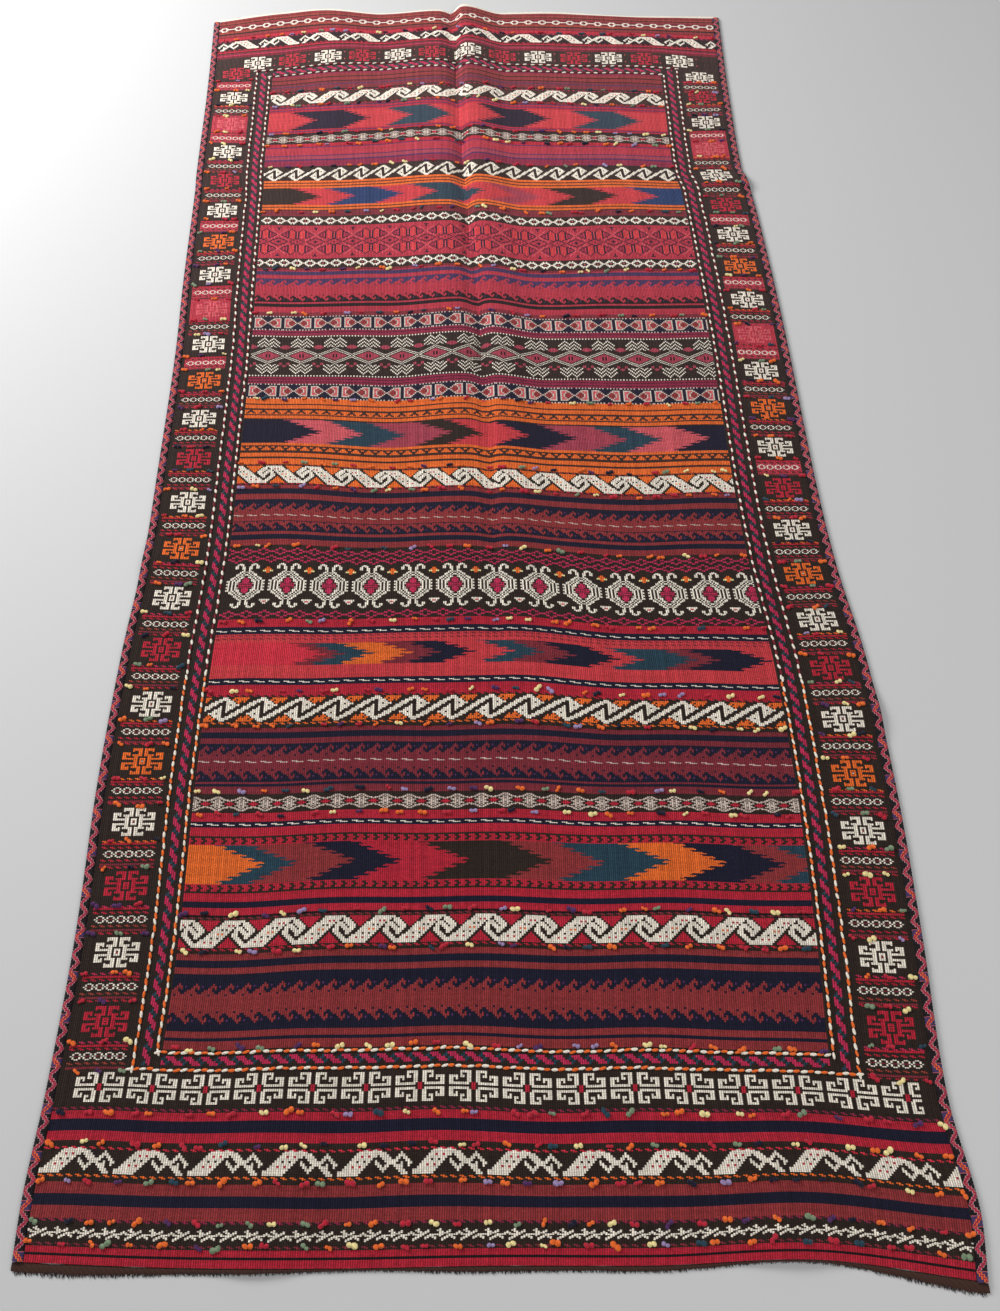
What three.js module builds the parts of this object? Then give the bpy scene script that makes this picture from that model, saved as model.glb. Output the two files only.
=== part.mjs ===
import * as THREE from 'three';

// A long flat-woven eating cloth, lying on a floor with the low creases of having been folded.
// Millimetres, +Z up. +X runs along the weft, +Y along the warp from the near end to the far end.
// The origin is on the floor under the middle of the whole cloth, fringes included.

// Driving sizes of the weave
const CLOTH_THICKNESS = 3;
const WOVEN_LENGTH = 2650;
const SELVEDGE_WIDTH = 15;
const PIECE_GAP = 0.3;

// Facets of the sheet, the selvedges and the two fringes
const CLOTH_COLUMNS = 22;
const CLOTH_ROWS = 56;
const COLUMN_CROWDING = 1.6;
const STRANDS_PER_END = 96;

// Side edges of the whole cloth. along is the woven distance from the near end, left and right are x.
const SIDE_EDGES = [
  { along: 0, left: -606, right: 626 },
  { along: 80, left: -607, right: 634 },
  { along: 210, left: -600, right: 621 },
  { along: 420, left: -596, right: 630 },
  { along: 650, left: -602, right: 636 },
  { along: 876, left: -599, right: 630 },
  { along: 1060, left: -589, right: 611 },
  { along: 1242, left: -590, right: 603 },
  { along: 1542, left: -594, right: 600 },
  { along: 1750, left: -603, right: 596 },
  { along: 2020, left: -611, right: 584 },
  { along: 2090, left: -615, right: 573 },
  { along: 2338, left: -622, right: 574 },
  { along: 2480, left: -627, right: 577 },
  { along: 2650, left: -636, right: 583 },
];

// Lie of the weft. Each row is one weft line, and its columns are y at sixths of the width.
const WEFT_STATIONS = ['left', 'leftMid', 'leftIn', 'middle', 'rightIn', 'rightMid', 'right'];
const WEFT_LINES = [
  { along: 0, left: -1310, leftMid: -1320, leftIn: -1324, middle: -1324, rightIn: -1327, rightMid: -1324, right: -1352 },
  { along: 210, left: -1105, leftMid: -1106, leftIn: -1108, middle: -1112, rightIn: -1118, rightMid: -1125, right: -1135 },
  { along: 420, left: -898, leftMid: -900, leftIn: -901, middle: -901, rightIn: -907, rightMid: -913, right: -922 },
  { along: 876, left: -427, leftMid: -432, leftIn: -435, middle: -435, rightIn: -456, rightMid: -461, right: -467 },
  { along: 1242, left: -52, leftMid: -58, leftIn: -70, middle: -80, rightIn: -94, rightMid: -100, right: -107 },
  { along: 1542, left: 238, leftMid: 234, leftIn: 228, middle: 216, rightIn: 208, rightMid: 202, right: 196 },
  { along: 2000, left: 690, leftMid: 689, leftIn: 687, middle: 678, rightIn: 668, rightMid: 663, right: 653 },
  { along: 2338, left: 1020, leftMid: 1021, leftIn: 1029, middle: 1020, rightIn: 1010, rightMid: 993, right: 978 },
  { along: 2480, left: 1143, leftMid: 1163, leftIn: 1173, middle: 1163, rightIn: 1148, rightMid: 1138, right: 1106 },
  { along: 2650, left: 1322, leftMid: 1356, leftIn: 1340, middle: 1330, rightIn: 1328, rightMid: 1306, right: 1293 },
];

// The lengthwise crease: a valley on the floor between two crests. x is the valley's place, and
// leftCrest and rightCrest are the heights of the crests beside it.
const CREASE = [
  { along: 800, x: 26, leftCrest: 0, rightCrest: 0 },
  { along: 1000, x: 22, leftCrest: 4, rightCrest: 4 },
  { along: 1242, x: 16, leftCrest: 6, rightCrest: 6 },
  { along: 1542, x: 4, leftCrest: 9, rightCrest: 8 },
  { along: 2000, x: -27, leftCrest: 9, rightCrest: 10 },
  { along: 2338, x: -43, leftCrest: 8, rightCrest: 13 },
  { along: 2650, x: -59, leftCrest: 7, rightCrest: 15 },
];
const CREST_OFFSET = { left: 45, right: 38 };
const CREST_FOOT = { left: 190, right: 125 };

// Low swells. Each runs from (x, y) to (toX, toY), fades out over reach on both sides and at its end,
// and is height high at its start.
const SWELLS = [
  { x: -350, y: 1380, toX: -330, toY: 1000, reach: 120, height: 6 },
  { x: 600, y: 712, toX: 400, toY: 690, reach: 42, height: 8 },
  { x: 390, y: -1380, toX: 360, toY: -1080, reach: 85, height: 6 },
  { x: -300, y: -1380, toX: -270, toY: -1000, reach: 80, height: 4 },
  { x: -620, y: -250, toX: -440, toY: -235, reach: 70, height: 5 },
  { x: 640, y: -560, toX: 480, toY: -540, reach: 60, height: 5 },
];

// Cut ends. strip is the width of the bare web beyond the last weft, and the strands are the
// loose warp ends in short locks.
const FAR_FRINGE = { strip: 6, thickness: 2.4, tip: 1.2, shortest: 3, longest: 9 };
const NEAR_FRINGE = { strip: 5, thickness: 2.4, tip: 1.2, shortest: 3, longest: 8 };

// How much longer the near strands are at the two corners, and over what share of the width
const CORNER_FRAY = { left: 7, right: 9, share: 0.22 };

// Section of a selvedge, overcast round a bundle of warps: out is the distance from its inner face.
const SELVEDGE_SECTION = [
  { out: 0, up: 0 },
  { out: 10.6, up: 0 },
  { out: 13.6, up: 1.2 },
  { out: 14.7, up: 3 },
  { out: 13.4, up: 4.7 },
  { out: 9.6, up: 5.6 },
  { out: 3.2, up: 5.2 },
  { out: 0, up: 4 },
];

function clamp(value, low, high) {
  return Math.min(Math.max(value, low), high);
}

function smooth(share) {
  const t = clamp(share, 0, 1);
  return t * t * (3 - 2 * t);
}

// One column of a table at a place along it: a smooth curve through the rows, whose slope at a row
// is the slope between that row's neighbours.
function tableValue(rows, key, along, placeKey = 'along') {
  const last = rows.length - 1;
  const place = clamp(along, rows[0][placeKey], rows[last][placeKey]);
  const next = clamp(rows.findIndex((row) => row[placeKey] >= place), 1, last);
  const slope = (i) => {
    const before = rows[Math.max(i - 1, 0)];
    const after = rows[Math.min(i + 1, last)];
    return (after[key] - before[key]) / (after[placeKey] - before[placeKey]);
  };
  const [a, b] = [rows[next - 1], rows[next]];
  const step = b[placeKey] - a[placeKey];
  const t = (place - a[placeKey]) / step;
  const bend = (1 - t) * slope(next - 1) - t * slope(next) + ((2 * t - 1) * (b[key] - a[key])) / step;
  return a[key] + t * (b[key] - a[key]) + t * (1 - t) * step * bend;
}

// y of the weft line at a woven distance, at a share of the width
function weftY(share, along) {
  const stations = WEFT_STATIONS.map((key, i) => ({
    share: i / (WEFT_STATIONS.length - 1),
    y: tableValue(WEFT_LINES, key, along),
  }));
  return tableValue(stations, 'y', share, 'share');
}

// x of the outer side edges
function edgeX(side, along) {
  return tableValue(SIDE_EDGES, side, along);
}

// Height of the crease on one side of its valley: up to the crest, then down to the floor.
function crestHeight(distance, side, height) {
  const rise = smooth(distance / CREST_OFFSET[side]);
  const fall = smooth((CREST_FOOT[side] - distance) / (CREST_FOOT[side] - CREST_OFFSET[side]));
  return Math.max(height, 0) * (distance < CREST_OFFSET[side] ? rise : fall);
}

function creaseHeight(x, along) {
  if (along < CREASE[0].along) {
    return 0;
  }
  const offset = x - tableValue(CREASE, 'x', along);
  const side = offset < 0 ? 'left' : 'right';
  return crestHeight(Math.abs(offset), side, tableValue(CREASE, `${side}Crest`, along));
}

function swellHeight(x, y, swell) {
  const line = new THREE.Vector2(swell.toX - swell.x, swell.toY - swell.y);
  const place = new THREE.Vector2(x - swell.x, y - swell.y);
  const length = line.length();
  line.normalize();
  const run = place.dot(line) / length;
  const aside = Math.abs(place.cross(line));
  return swell.height * smooth(1 - run) * smooth(1 - aside / swell.reach);
}

// How high the underside lies off the floor
function liftAt(x, y, along) {
  const swells = SWELLS.map((swell) => swellHeight(x, y, swell));
  return Math.max(creaseHeight(x, along), ...swells);
}

// Point of the underside at a share of the width between two x limits
function undersidePoint(share, along, fromX, toX) {
  const x = THREE.MathUtils.lerp(fromX, toX, share);
  const [left, right] = [edgeX('left', along), edgeX('right', along)];
  const y = weftY((x - left) / (right - left), along);
  return new THREE.Vector3(x, y, liftAt(x, y, along));
}

function meshFrom(name, points, triangles, material) {
  const geometry = new THREE.BufferGeometry();
  geometry.setAttribute('position', new THREE.Float32BufferAttribute(points.flatMap((p) => p.toArray()), 3));
  geometry.setIndex(triangles);
  geometry.computeVertexNormals();
  const mesh = new THREE.Mesh(geometry, material);
  mesh.name = name;
  return mesh;
}

// Closed solid through equal rings of points, which run anticlockwise seen from the first ring's
// outer side. Point i of a ring lies over point count - 1 - i, so that the ends close as ladders.
function loft(name, rings, material) {
  const count = rings[0].length;
  const triangles = [];
  const quad = (a, b, c, d) => triangles.push(a, b, c, a, c, d);
  for (let j = 0; j + 1 < rings.length; j += 1) {
    for (let i = 0; i < count; i += 1) {
      const next = (i + 1) % count;
      quad(j * count + i, (j + 1) * count + i, (j + 1) * count + next, j * count + next);
    }
  }
  const end = (rings.length - 1) * count;
  for (let i = 0; i + 1 < count / 2; i += 1) {
    const opposite = count - 1 - i;
    quad(i, i + 1, opposite - 1, opposite);
    quad(end + i, end + opposite, end + opposite - 1, end + i + 1);
  }
  return meshFrom(name, rings.flat(), triangles, material);
}

// Shares of the width, crowded towards the lengthwise crease
function clothShares(along) {
  const [left, right] = [edgeX('left', along), edgeX('right', along)];
  const crease = (tableValue(CREASE, 'x', along) - left) / (right - left);
  return Array.from({ length: CLOTH_COLUMNS + 1 }, (_, i) => {
    const run = (2 * i) / CLOTH_COLUMNS - 1;
    const even = 0.5 + 0.5 * Math.sign(run) * Math.abs(run) ** COLUMN_CROWDING;
    return even + (crease - 0.5) * 4 * even * (1 - even);
  });
}

// Underside points of the sheet along one weft line, between the selvedges
function clothLine(along) {
  const fromX = edgeX('left', along) + SELVEDGE_WIDTH;
  const toX = edgeX('right', along) - SELVEDGE_WIDTH;
  return clothShares(along).map((share) => undersidePoint(share, along, fromX, toX));
}

function wovenCloth(material) {
  const rings = Array.from({ length: CLOTH_ROWS + 1 }, (_, j) => {
    const under = clothLine((WOVEN_LENGTH * j) / CLOTH_ROWS);
    const over = under.map((p) => p.clone().setZ(p.z + CLOTH_THICKNESS));
    return [...under, ...over.reverse()];
  });
  return loft('woven_cloth', rings, material);
}

// side is 'left' or 'right', and outward is -1 or 1.
function selvedge(side, outward, material) {
  const rings = Array.from({ length: CLOTH_ROWS + 1 }, (_, j) => {
    const along = (WOVEN_LENGTH * j) / CLOTH_ROWS;
    const inner = edgeX(side, along) - outward * (SELVEDGE_WIDTH - PIECE_GAP);
    const foot = undersidePoint(0, along, inner, inner);
    const ring = SELVEDGE_SECTION.map(({ out, up }) => new THREE.Vector3(inner + outward * out, foot.y, foot.z + up));
    return outward > 0 ? ring : [...ring].reverse();
  });
  return loft(`selvedge_${side}`, rings, material);
}

// Uneven but repeatable share from 0 to 1 for a strand
function uneven(index, salt) {
  const wave = Math.sin(index * 12.9898 + salt * 78.233) * 43758.5453;
  return wave - Math.floor(wave);
}

// Strip with short locks fused to its outer face. edge gives the points of the cloth's cut end in
// order, outward is 1 for +Y or -1 for -Y, and lengthAt is a lock's length at a share of the width.
function fringe(name, edge, outward, sizes, lengthAt, material) {
  const points = [];
  const triangles = [];
  const quad = (a, b, c, d) => triangles.push(a, b, c, a, c, d);
  const tube = (from, to) => {
    quad(from.low0, to.low0, to.low1, from.low1);
    quad(from.high0, from.high1, to.high1, to.high0);
  };
  edge.forEach(({ x, y, z }) => {
    const [inner, outer] = [y + outward * PIECE_GAP, y + outward * (PIECE_GAP + sizes.strip)];
    points.push(new THREE.Vector3(x, inner, z), new THREE.Vector3(x, outer, z));
    points.push(new THREE.Vector3(x, outer, z + sizes.thickness), new THREE.Vector3(x, inner, z + sizes.thickness));
  });
  const side = (k, corner) => ({
    low0: 4 * k + corner, low1: 4 * (k + 1) + corner, high0: 4 * k + 3 - corner, high1: 4 * (k + 1) + 3 - corner,
  });
  for (let k = 0; k + 1 < edge.length; k += 1) {
    const [inner, outer] = [side(k, 0), side(k, 1)];
    tube(inner, outer);
    quad(inner.low0, inner.low1, inner.high1, inner.high0);
    if (k % 2 === 0) {
      quad(outer.low0, outer.high0, outer.high1, outer.low1);
      continue;
    }
    const share = k / (edge.length - 1);
    const length = lengthAt(share, uneven(k, outward));
    const lean = (uneven(k, outward + 3) - 0.5) * length * 0.5;
    const first = points.length;
    const [root0, root1] = [points[outer.low0], points[outer.low1]];
    const drop = (root0.z + root1.z) * 0.3;
    [0.2, 0.8].forEach((across) => {
      const foot = root0.clone().lerp(root1, across).add(new THREE.Vector3(lean, outward * length, 0));
      foot.z = drop;
      points.push(foot, foot.clone().setZ(drop + sizes.tip));
    });
    const tip = { low0: first, high0: first + 1, low1: first + 2, high1: first + 3 };
    tube(outer, tip);
    quad(outer.low0, outer.high0, tip.high0, tip.low0);
    quad(outer.low1, tip.low1, tip.high1, outer.high1);
    quad(tip.low0, tip.high0, tip.high1, tip.low1);
  }
  const end = 4 * (edge.length - 1);
  quad(0, 3, 2, 1);
  quad(end, end + 1, end + 2, end + 3);
  return meshFrom(name, points, triangles, material);
}

// Points of a cut end from the left edge to the right edge, two for each lock, on the straight
// facets of the sheet's own end
function cutEnd(along) {
  const line = clothLine(along);
  const corners = [line[0].clone().setX(edgeX('left', along)), line.at(-1).clone().setX(edgeX('right', along))];
  const facets = [corners[0], ...line, corners[1]];
  const count = 2 * STRANDS_PER_END + 1;
  return Array.from({ length: count + 1 }, (_, i) => {
    const x = THREE.MathUtils.lerp(corners[0].x, corners[1].x, i / count);
    const next = clamp(facets.findIndex((p) => p.x >= x), 1, facets.length - 1);
    const [a, b] = [facets[next - 1], facets[next]];
    return a.clone().lerp(b, (x - a.x) / (b.x - a.x));
  });
}

function farFringe(material) {
  const { shortest, longest } = FAR_FRINGE;
  const lengthAt = (share, chance) => THREE.MathUtils.lerp(shortest, longest, chance);
  return fringe('far_end_fringe', cutEnd(WOVEN_LENGTH), 1, FAR_FRINGE, lengthAt, material);
}

// The near end is counted from the right, so its strands turn the other way.
function nearFringe(material) {
  const { shortest, longest } = NEAR_FRINGE;
  const lengthAt = (share, chance) => {
    const fromRight = smooth(1 - share / CORNER_FRAY.share) * CORNER_FRAY.right;
    const fromLeft = smooth(1 - (1 - share) / CORNER_FRAY.share) * CORNER_FRAY.left;
    return THREE.MathUtils.lerp(shortest, longest, chance) + fromRight + fromLeft;
  };
  return fringe('near_end_fringe', cutEnd(0).reverse(), -1, NEAR_FRINGE, lengthAt, material);
}

const wool = (color) => new THREE.MeshStandardMaterial({ color, roughness: 0.95, metalness: 0 });
const cloth = new THREE.Group();
cloth.add(
  wovenCloth(wool(0x7a2630)),
  selvedge('left', -1, wool(0x33222a)),
  selvedge('right', 1, wool(0x33222a)),
  farFringe(wool(0xd9cdb8)),
  nearFringe(wool(0x3a2d24)),
);

export default cloth;
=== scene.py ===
"""Long flat-woven eating cloth, laid out on a pale floor.

The sheet carries its weave as a chart of stitches. The raised yarns are meshes of their own:
twined guide lines, wool tufts, overcast side edges and the cut warps of both ends. Places on the cloth are
given in millimetres, across from the left outer edge and along from the near end, and become metres in the
meshes.
"""

import logging
import math
from dataclasses import dataclass, field
from enum import Enum

import bpy
import numpy as np
from mathutils import Matrix, Vector
from numpy.typing import NDArray


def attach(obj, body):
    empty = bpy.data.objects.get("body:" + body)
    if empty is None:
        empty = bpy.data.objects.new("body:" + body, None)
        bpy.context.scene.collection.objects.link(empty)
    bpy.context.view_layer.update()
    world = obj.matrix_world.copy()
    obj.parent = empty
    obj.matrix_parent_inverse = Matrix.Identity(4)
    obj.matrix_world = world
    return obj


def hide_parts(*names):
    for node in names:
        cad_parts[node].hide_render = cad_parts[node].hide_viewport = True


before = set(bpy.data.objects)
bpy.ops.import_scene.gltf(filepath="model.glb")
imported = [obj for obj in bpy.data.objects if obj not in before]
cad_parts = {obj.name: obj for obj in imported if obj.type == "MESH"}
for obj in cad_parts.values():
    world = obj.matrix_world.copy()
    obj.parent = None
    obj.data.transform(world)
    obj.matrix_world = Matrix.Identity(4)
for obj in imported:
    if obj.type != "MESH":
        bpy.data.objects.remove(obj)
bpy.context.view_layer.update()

LOG = logging.getLogger("eating_cloth")
METRES = 0.001
SEED = 2680

Numbers = NDArray[np.float64]
Whole = NDArray[np.int_]
Letters = NDArray[np.str_]
Span = tuple[float, float]

# Woven distances of the frame's near and far sides, outer edge first, in mm
NEAR_SIDE: Span = (232.0, 263.0)
FAR_SIDE: Span = (2458.0, 2427.0)

# Woven distance beyond which the red patches of the side borders have faded, in mm
FADED_BEYOND = 1300.0

# Woven length between the cut ends and mean width over the side edges, in mm
WOVEN_LENGTH = 2650.0
WIDTH = 1220.0

# Stretches of the width, in mm from the left outer edge: the sheet, the field of bands, the strip round it
# with its guide lines, and the side borders
WHOLE: Span = (15.0, 1205.0)
FIELD: Span = (152.0, 1068.0)
FRAME: Span = (110.0, 1110.0)
LEFT_BORDER: Span = (WHOLE[0], FRAME[0])
RIGHT_BORDER: Span = (FRAME[1], WHOLE[1])

# Side edges of the whole cloth, in mm: woven distance from the near end, left x, right x
SIDE_EDGES = np.array([
    (0, -606, 626), (80, -607, 634), (210, -600, 621), (420, -596, 630), (650, -602, 636),
    (876, -599, 630), (1060, -589, 611), (1242, -590, 603), (1542, -594, 600), (1750, -603, 596),
    (2020, -611, 584), (2090, -615, 573), (2338, -622, 574), (2480, -627, 577), (2650, -636, 583),
], float)

# Lie of the weft, in mm: woven distance, then y at sixths of the width from left to right
WEFT_LINES = np.array([
    (0, -1310, -1320, -1324, -1324, -1327, -1324, -1352),
    (210, -1105, -1106, -1108, -1112, -1118, -1125, -1135),
    (420, -898, -900, -901, -901, -907, -913, -922),
    (876, -427, -432, -435, -435, -456, -461, -467),
    (1242, -52, -58, -70, -80, -94, -100, -107),
    (1542, 238, 234, 228, 216, 208, 202, 196),
    (2000, 690, 689, 687, 678, 668, 663, 653),
    (2338, 1020, 1021, 1029, 1020, 1010, 993, 978),
    (2480, 1143, 1163, 1173, 1163, 1148, 1138, 1106),
    (2650, 1322, 1356, 1340, 1330, 1328, 1306, 1293),
], float)

# Lengthwise crease, in mm: woven distance, x of the valley, height of the left crest, of the right crest
CREASE = np.array([
    (800, 26, 0, 0), (1000, 22, 4, 4), (1242, 16, 6, 6), (1542, 4, 9, 8),
    (2000, -27, 9, 10), (2338, -43, 8, 13), (2650, -59, 7, 15),
], float)

# Low swells, in mm: start x and y, end x and y, reach to each side, height at the start
SWELLS = (
    (-350, 1380, -330, 1000, 120, 6), (600, 712, 400, 690, 42, 8), (390, -1380, 360, -1080, 85, 6),
    (-300, -1380, -270, -1000, 80, 4), (-620, -250, -440, -235, 70, 5), (640, -560, 480, -540, 60, 5),
)


class Yarn(Enum):
    """Dyed wools, each with its colour as seen in daylight (sRGB, 0 to 255)."""

    BROWN = (46, 35, 30)
    BLACK = (28, 20, 23)
    NAVY = (26, 25, 45)
    TEAL = (38, 64, 78)
    BLUE = (34, 60, 102)
    IVORY = (232, 222, 206)
    RED = (178, 36, 54)
    BRIGHT_RED = (204, 48, 64)
    DARK_RED = (112, 28, 40)
    CORAL = (198, 60, 66)
    SALMON = (202, 86, 94)
    BRICK = (140, 50, 52)
    MAROON = (124, 43, 53)
    MAGENTA = (186, 44, 82)
    PLUM = (138, 38, 66)
    ORANGE = (226, 104, 42)
    NIGHT_PURPLE = (66, 50, 88)
    PURPLE = (78, 42, 88)
    CREAM = (232, 214, 150)
    GREY_GREEN = (118, 136, 108)
    LAVENDER = (150, 130, 170)
    RUST = (150, 62, 50)
    ROSE_MAROON = (160, 62, 78)
    OLIVE_BROWN = (62, 40, 34)
    THIN_IVORY = (196, 178, 166)
    BRIGHT_CORAL = (214, 76, 82)
    FADED_RED = (176, 52, 67)

    @property
    def number(self) -> int:
        """Place of the yarn in the list."""
        return list(Yarn).index(self)

    @property
    def mark(self) -> float:
        """Value that stands for the yarn in a mesh's attribute, from 0 to 1."""
        return (self.number + 0.5) / YARN_SLOTS


# Steps of the scale on which a mesh's attribute holds a yarn
YARN_SLOTS = 32

# Attributes of the sheet's faces, each with the four stitches of one of a face's four wefts
WEFTS_OF_A_FACE = ("First weft", "Second weft", "Third weft", "Fourth weft")


class Fold(Enum):
    """How a charted quarter or half is unfolded into a whole repeat."""

    PLAIN = "used as drawn"
    ON_LAST = "mirrored about its last line, which isn't doubled"
    ON_FIRST = "mirrored about its first line, which isn't doubled"
    BESIDE = "mirrored beside its last line"
    CHAIN = "mirrored so that both its end lines are shared by neighbours"


def unfold(letters: Letters, fold: Fold, axis: int) -> Letters:
    """Unfolds a chart along one axis.

    Args:
        letters: chart, one letter for each stitch.
        fold: how it is mirrored.
        axis: 0 for the rows, 1 for the columns.

    Returns:
        The whole chart.
    """
    turned = np.flip(letters, axis)
    length = letters.shape[axis]
    if fold is Fold.ON_LAST:
        return np.concatenate([letters, np.take(turned, range(1, length), axis)], axis)
    if fold is Fold.ON_FIRST:
        return np.concatenate([turned, np.take(letters, range(1, length), axis)], axis)
    if fold is Fold.BESIDE:
        return np.concatenate([letters, turned], axis)
    if fold is Fold.CHAIN:
        return np.concatenate([letters, np.take(turned, range(1, length - 1), axis)], axis)
    return letters


@dataclass(frozen=True)
class Motif:
    """Small repeat, charted far row first. A letter is a stitch, and a dot shows the ground.

    Args:
        drawn: rows of the chart.
        sides: how its columns unfold.
        ends: how its rows unfold.
        wefts: wefts in a drawn row: two make a stitch as high as it is wide.
    """

    drawn: tuple[str, ...]
    sides: Fold = Fold.PLAIN
    ends: Fold = Fold.PLAIN
    wefts: int = 2

    def letters(self) -> Letters:
        """Whole chart, near row first, with each drawn row as many wefts high as it says."""
        grid = np.array([list(row) for row in self.drawn])
        whole = np.flipud(unfold(unfold(grid, self.sides, 1), self.ends, 0))
        return np.repeat(whole, self.wefts, axis=0)

    def turned(self) -> "Motif":
        """Same motif with its left and right sides changed over."""
        return Motif(tuple(row[::-1] for row in self.drawn), self.sides, self.ends, self.wefts)

    def upended(self) -> "Motif":
        """Same motif with its near and far ends changed over."""
        return Motif(tuple(reversed(self.drawn)), self.sides, self.ends, self.wefts)

    def upright(self) -> Letters:
        """Whole chart turned a quarter, so that it runs along the warp."""
        grid = np.array([list(row) for row in self.drawn])
        return np.repeat(np.rot90(grid), self.wefts, axis=0)


GUL = Motif((
    ".....WWWWW.", ".....WWWWW.", ".....WWWWW.", ".....W..WW.", "........WW.", "WWWW....WW.",
    "WWWW....WW.", "WWWW.WWWWW.", "WW.W.WWWWW.", "WW....WW...", "WW....WW...", "WWWWWWWW.WW",
    "WWWWWWWW.WW", "......WW.W.", "......WW.WC",
), Fold.ON_LAST, Fold.ON_LAST, wefts=1)
JOINED_GULS = Motif((
    "......WWWWW.", "......W..WW.", ".WWWW.WW.WW.", ".WW.W....WW.", ".WW......WW.", ".WWWWWWWWW.C",
    "...........C",
), Fold.BESIDE, Fold.ON_LAST)
S_SCROLL = Motif((
    "WWWWWWW..RRRRRRRRRR..WWW", "WWWWW.WWW.RRRRRRRR..WWWW", "WrWW..WWWW.RRRRRR..WWWWr",
    "WW.WWW.WWWW.RRRR.WWWWWWW", "W.WWWWW.WWWW.RR.WWWWdWdW", "..WW.WWW.WWW...WWWWWWWWW",
    ".WWW..WWWWW...WWWWoWoWW.", ".WWW...WWW...WWWWWWWWW..", "..WWW..WW...WWWdWWdWW..R",
    "R..WWW....WWWWWWWWWW..RR", "RR..WWW..WWWrWWrWWW..RRR", "RRR..WWWWWWWWWWWWW..RRRR",
    "RRRR..WWWWWWWWWWW..RRRRR",
))
SLANT_SCROLL = Motif((
    ".........WWWWWWWWWW.............", "........WWWWWWWWWWWWW......W....",
    ".......WWWrWWrWWW.WWWW....WWW...", "......WWWWWWWWW....WWWW..WW.WW..",
    ".....WWWdWWdWW..W...WWWWWW...WW.", "....WWWWWWWWW...WW...WWWW..W..WW",
    "...WWWrWWrWW.....WW.WW..WWWW..W.", "..WWWWWWWWW.......WWW....WWW....",
    "WWWWWWWWWW.........W......WWW...", "WWWWWWWWW..................WWW..",
))
N_HALF = (
    "OOO......WWW...OOOOO", "OO.....WWWWWW.OO.OOO", "O....WWWW..WWWW.OOO.", "...WWWW....WWWWW.O..",
    "..WWWW.....WWdWWWW..", "WWWW....W..WWWWW....", "WWW....WW..WWWW....W",
)
N_SCROLL = Motif(N_HALF + tuple(row[::-1] for row in reversed(N_HALF)))
SMALL_N_HALF = (
    ".......WWW......", "......WWWWW.....", "....WWW..WWW....", "...WWW...WWWW...", "..WWW....WdWWW..",
    "WWW...W..WWWW...", "WW...WW..WWW...W",
)
SMALL_N_SCROLL = Motif(SMALL_N_HALF + tuple(row[::-1] for row in reversed(SMALL_N_HALF)))
HEXAGON_CHAIN = Motif(("...W.W...", "..WWWWW..", ".WW...WW.", "WW..P..WW"), ends=Fold.ON_LAST)
LINK_CHAIN = Motif(("..WWWW.....", ".WW..WW....", "WW....WWWWW"), ends=Fold.ON_LAST)
LATTICE = Motif((
    "..............", "..............", "............nn", "....n........n", "...ncn..P....n",
    "..ncccn..P....", ".nccccnn..P...", "pnccccn.nn.P..", ".nccccn.u.n.P.", "pnccccn.uu.n.P",
    ".nccccn.u.n.P.", "pnccccn.nn.P..", ".nccccnn..P..n", "nn.cn...P..nn.", "..nn...P.nn...",
    "....n...n....n", "n....n.n....nn",
), Fold.CHAIN, Fold.ON_LAST)
BLOSSOM = Motif(("..OO..", ".OOOO.", "PPOOPP", "..OO.."))
CUP = Motif(("WWWWWW", ".WPPW.", "..WW.."))
CROSSED_BOX = Motif((
    "W.W.W.W.W.", "..........", ".WWWWW....", ".WPPPWW...", ".WPPWMMW..", ".WPWMMMMW.", ".WPWMMMMMW",
), Fold.BESIDE, Fold.ON_LAST)
KNOTTED_STARS = Motif((
    "WW..RRR", "WWW..RR", ".WWW..R", "WW...WW", ".W.WWW.", "W.WW...", ".WW....", "WW.....",
), Fold.CHAIN, Fold.ON_FIRST, wefts=1)
HOOKS = Motif(("NNNNNNNN", "NNNMNNNN", "NNMMMNuN", "NMMNMNNN", "MMMNNNNM", "MMMMNNMM", "MkMMMMMM"))
ORANGE_WAVE = Motif(("KKKKKKKK", "...KK...", "..KKKK..", ".KK..KK."))
RED_WAVE = Motif(("KKKKK", ".KK..", "..KK.", ".KK.."))
SMALL_LATTICE = Motif(("....mm....", "..mm..mm..", "mm..dd..mm"), ends=Fold.ON_LAST)
SMALL_DIAMOND = Motif(("..WW..", ".W..W.", ".W..W.", "W.PP.W", ".W..W.", ".W..W.", "..WW.."), wefts=1)
DOTS = Motif(("W.",))
THIN_DASHES = Motif(("WWW.....", "..WWWW.."), wefts=1)
TWINED_ROW = Motif(("WW..", ".WW."), wefts=1)
VINE = Motif((
    "...W........W.......", "..WW...W...WW...W...", "W..WW.WW....WW.WW...", "WW..WWW.....WWWW...W",
    ".WWWWW..WWWWWW..WWWW", "...WW..WWW..W..WWW..", "..WW..WW.WW...WW.WW.", ".WW...W...W..WW...W.",
    ".W...........W......",
), wefts=1)
BARRED_STRIP = Motif(("mmmm...t", ".mmmm.tt", "tt.mmmm.", "t...mmmm"))


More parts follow.
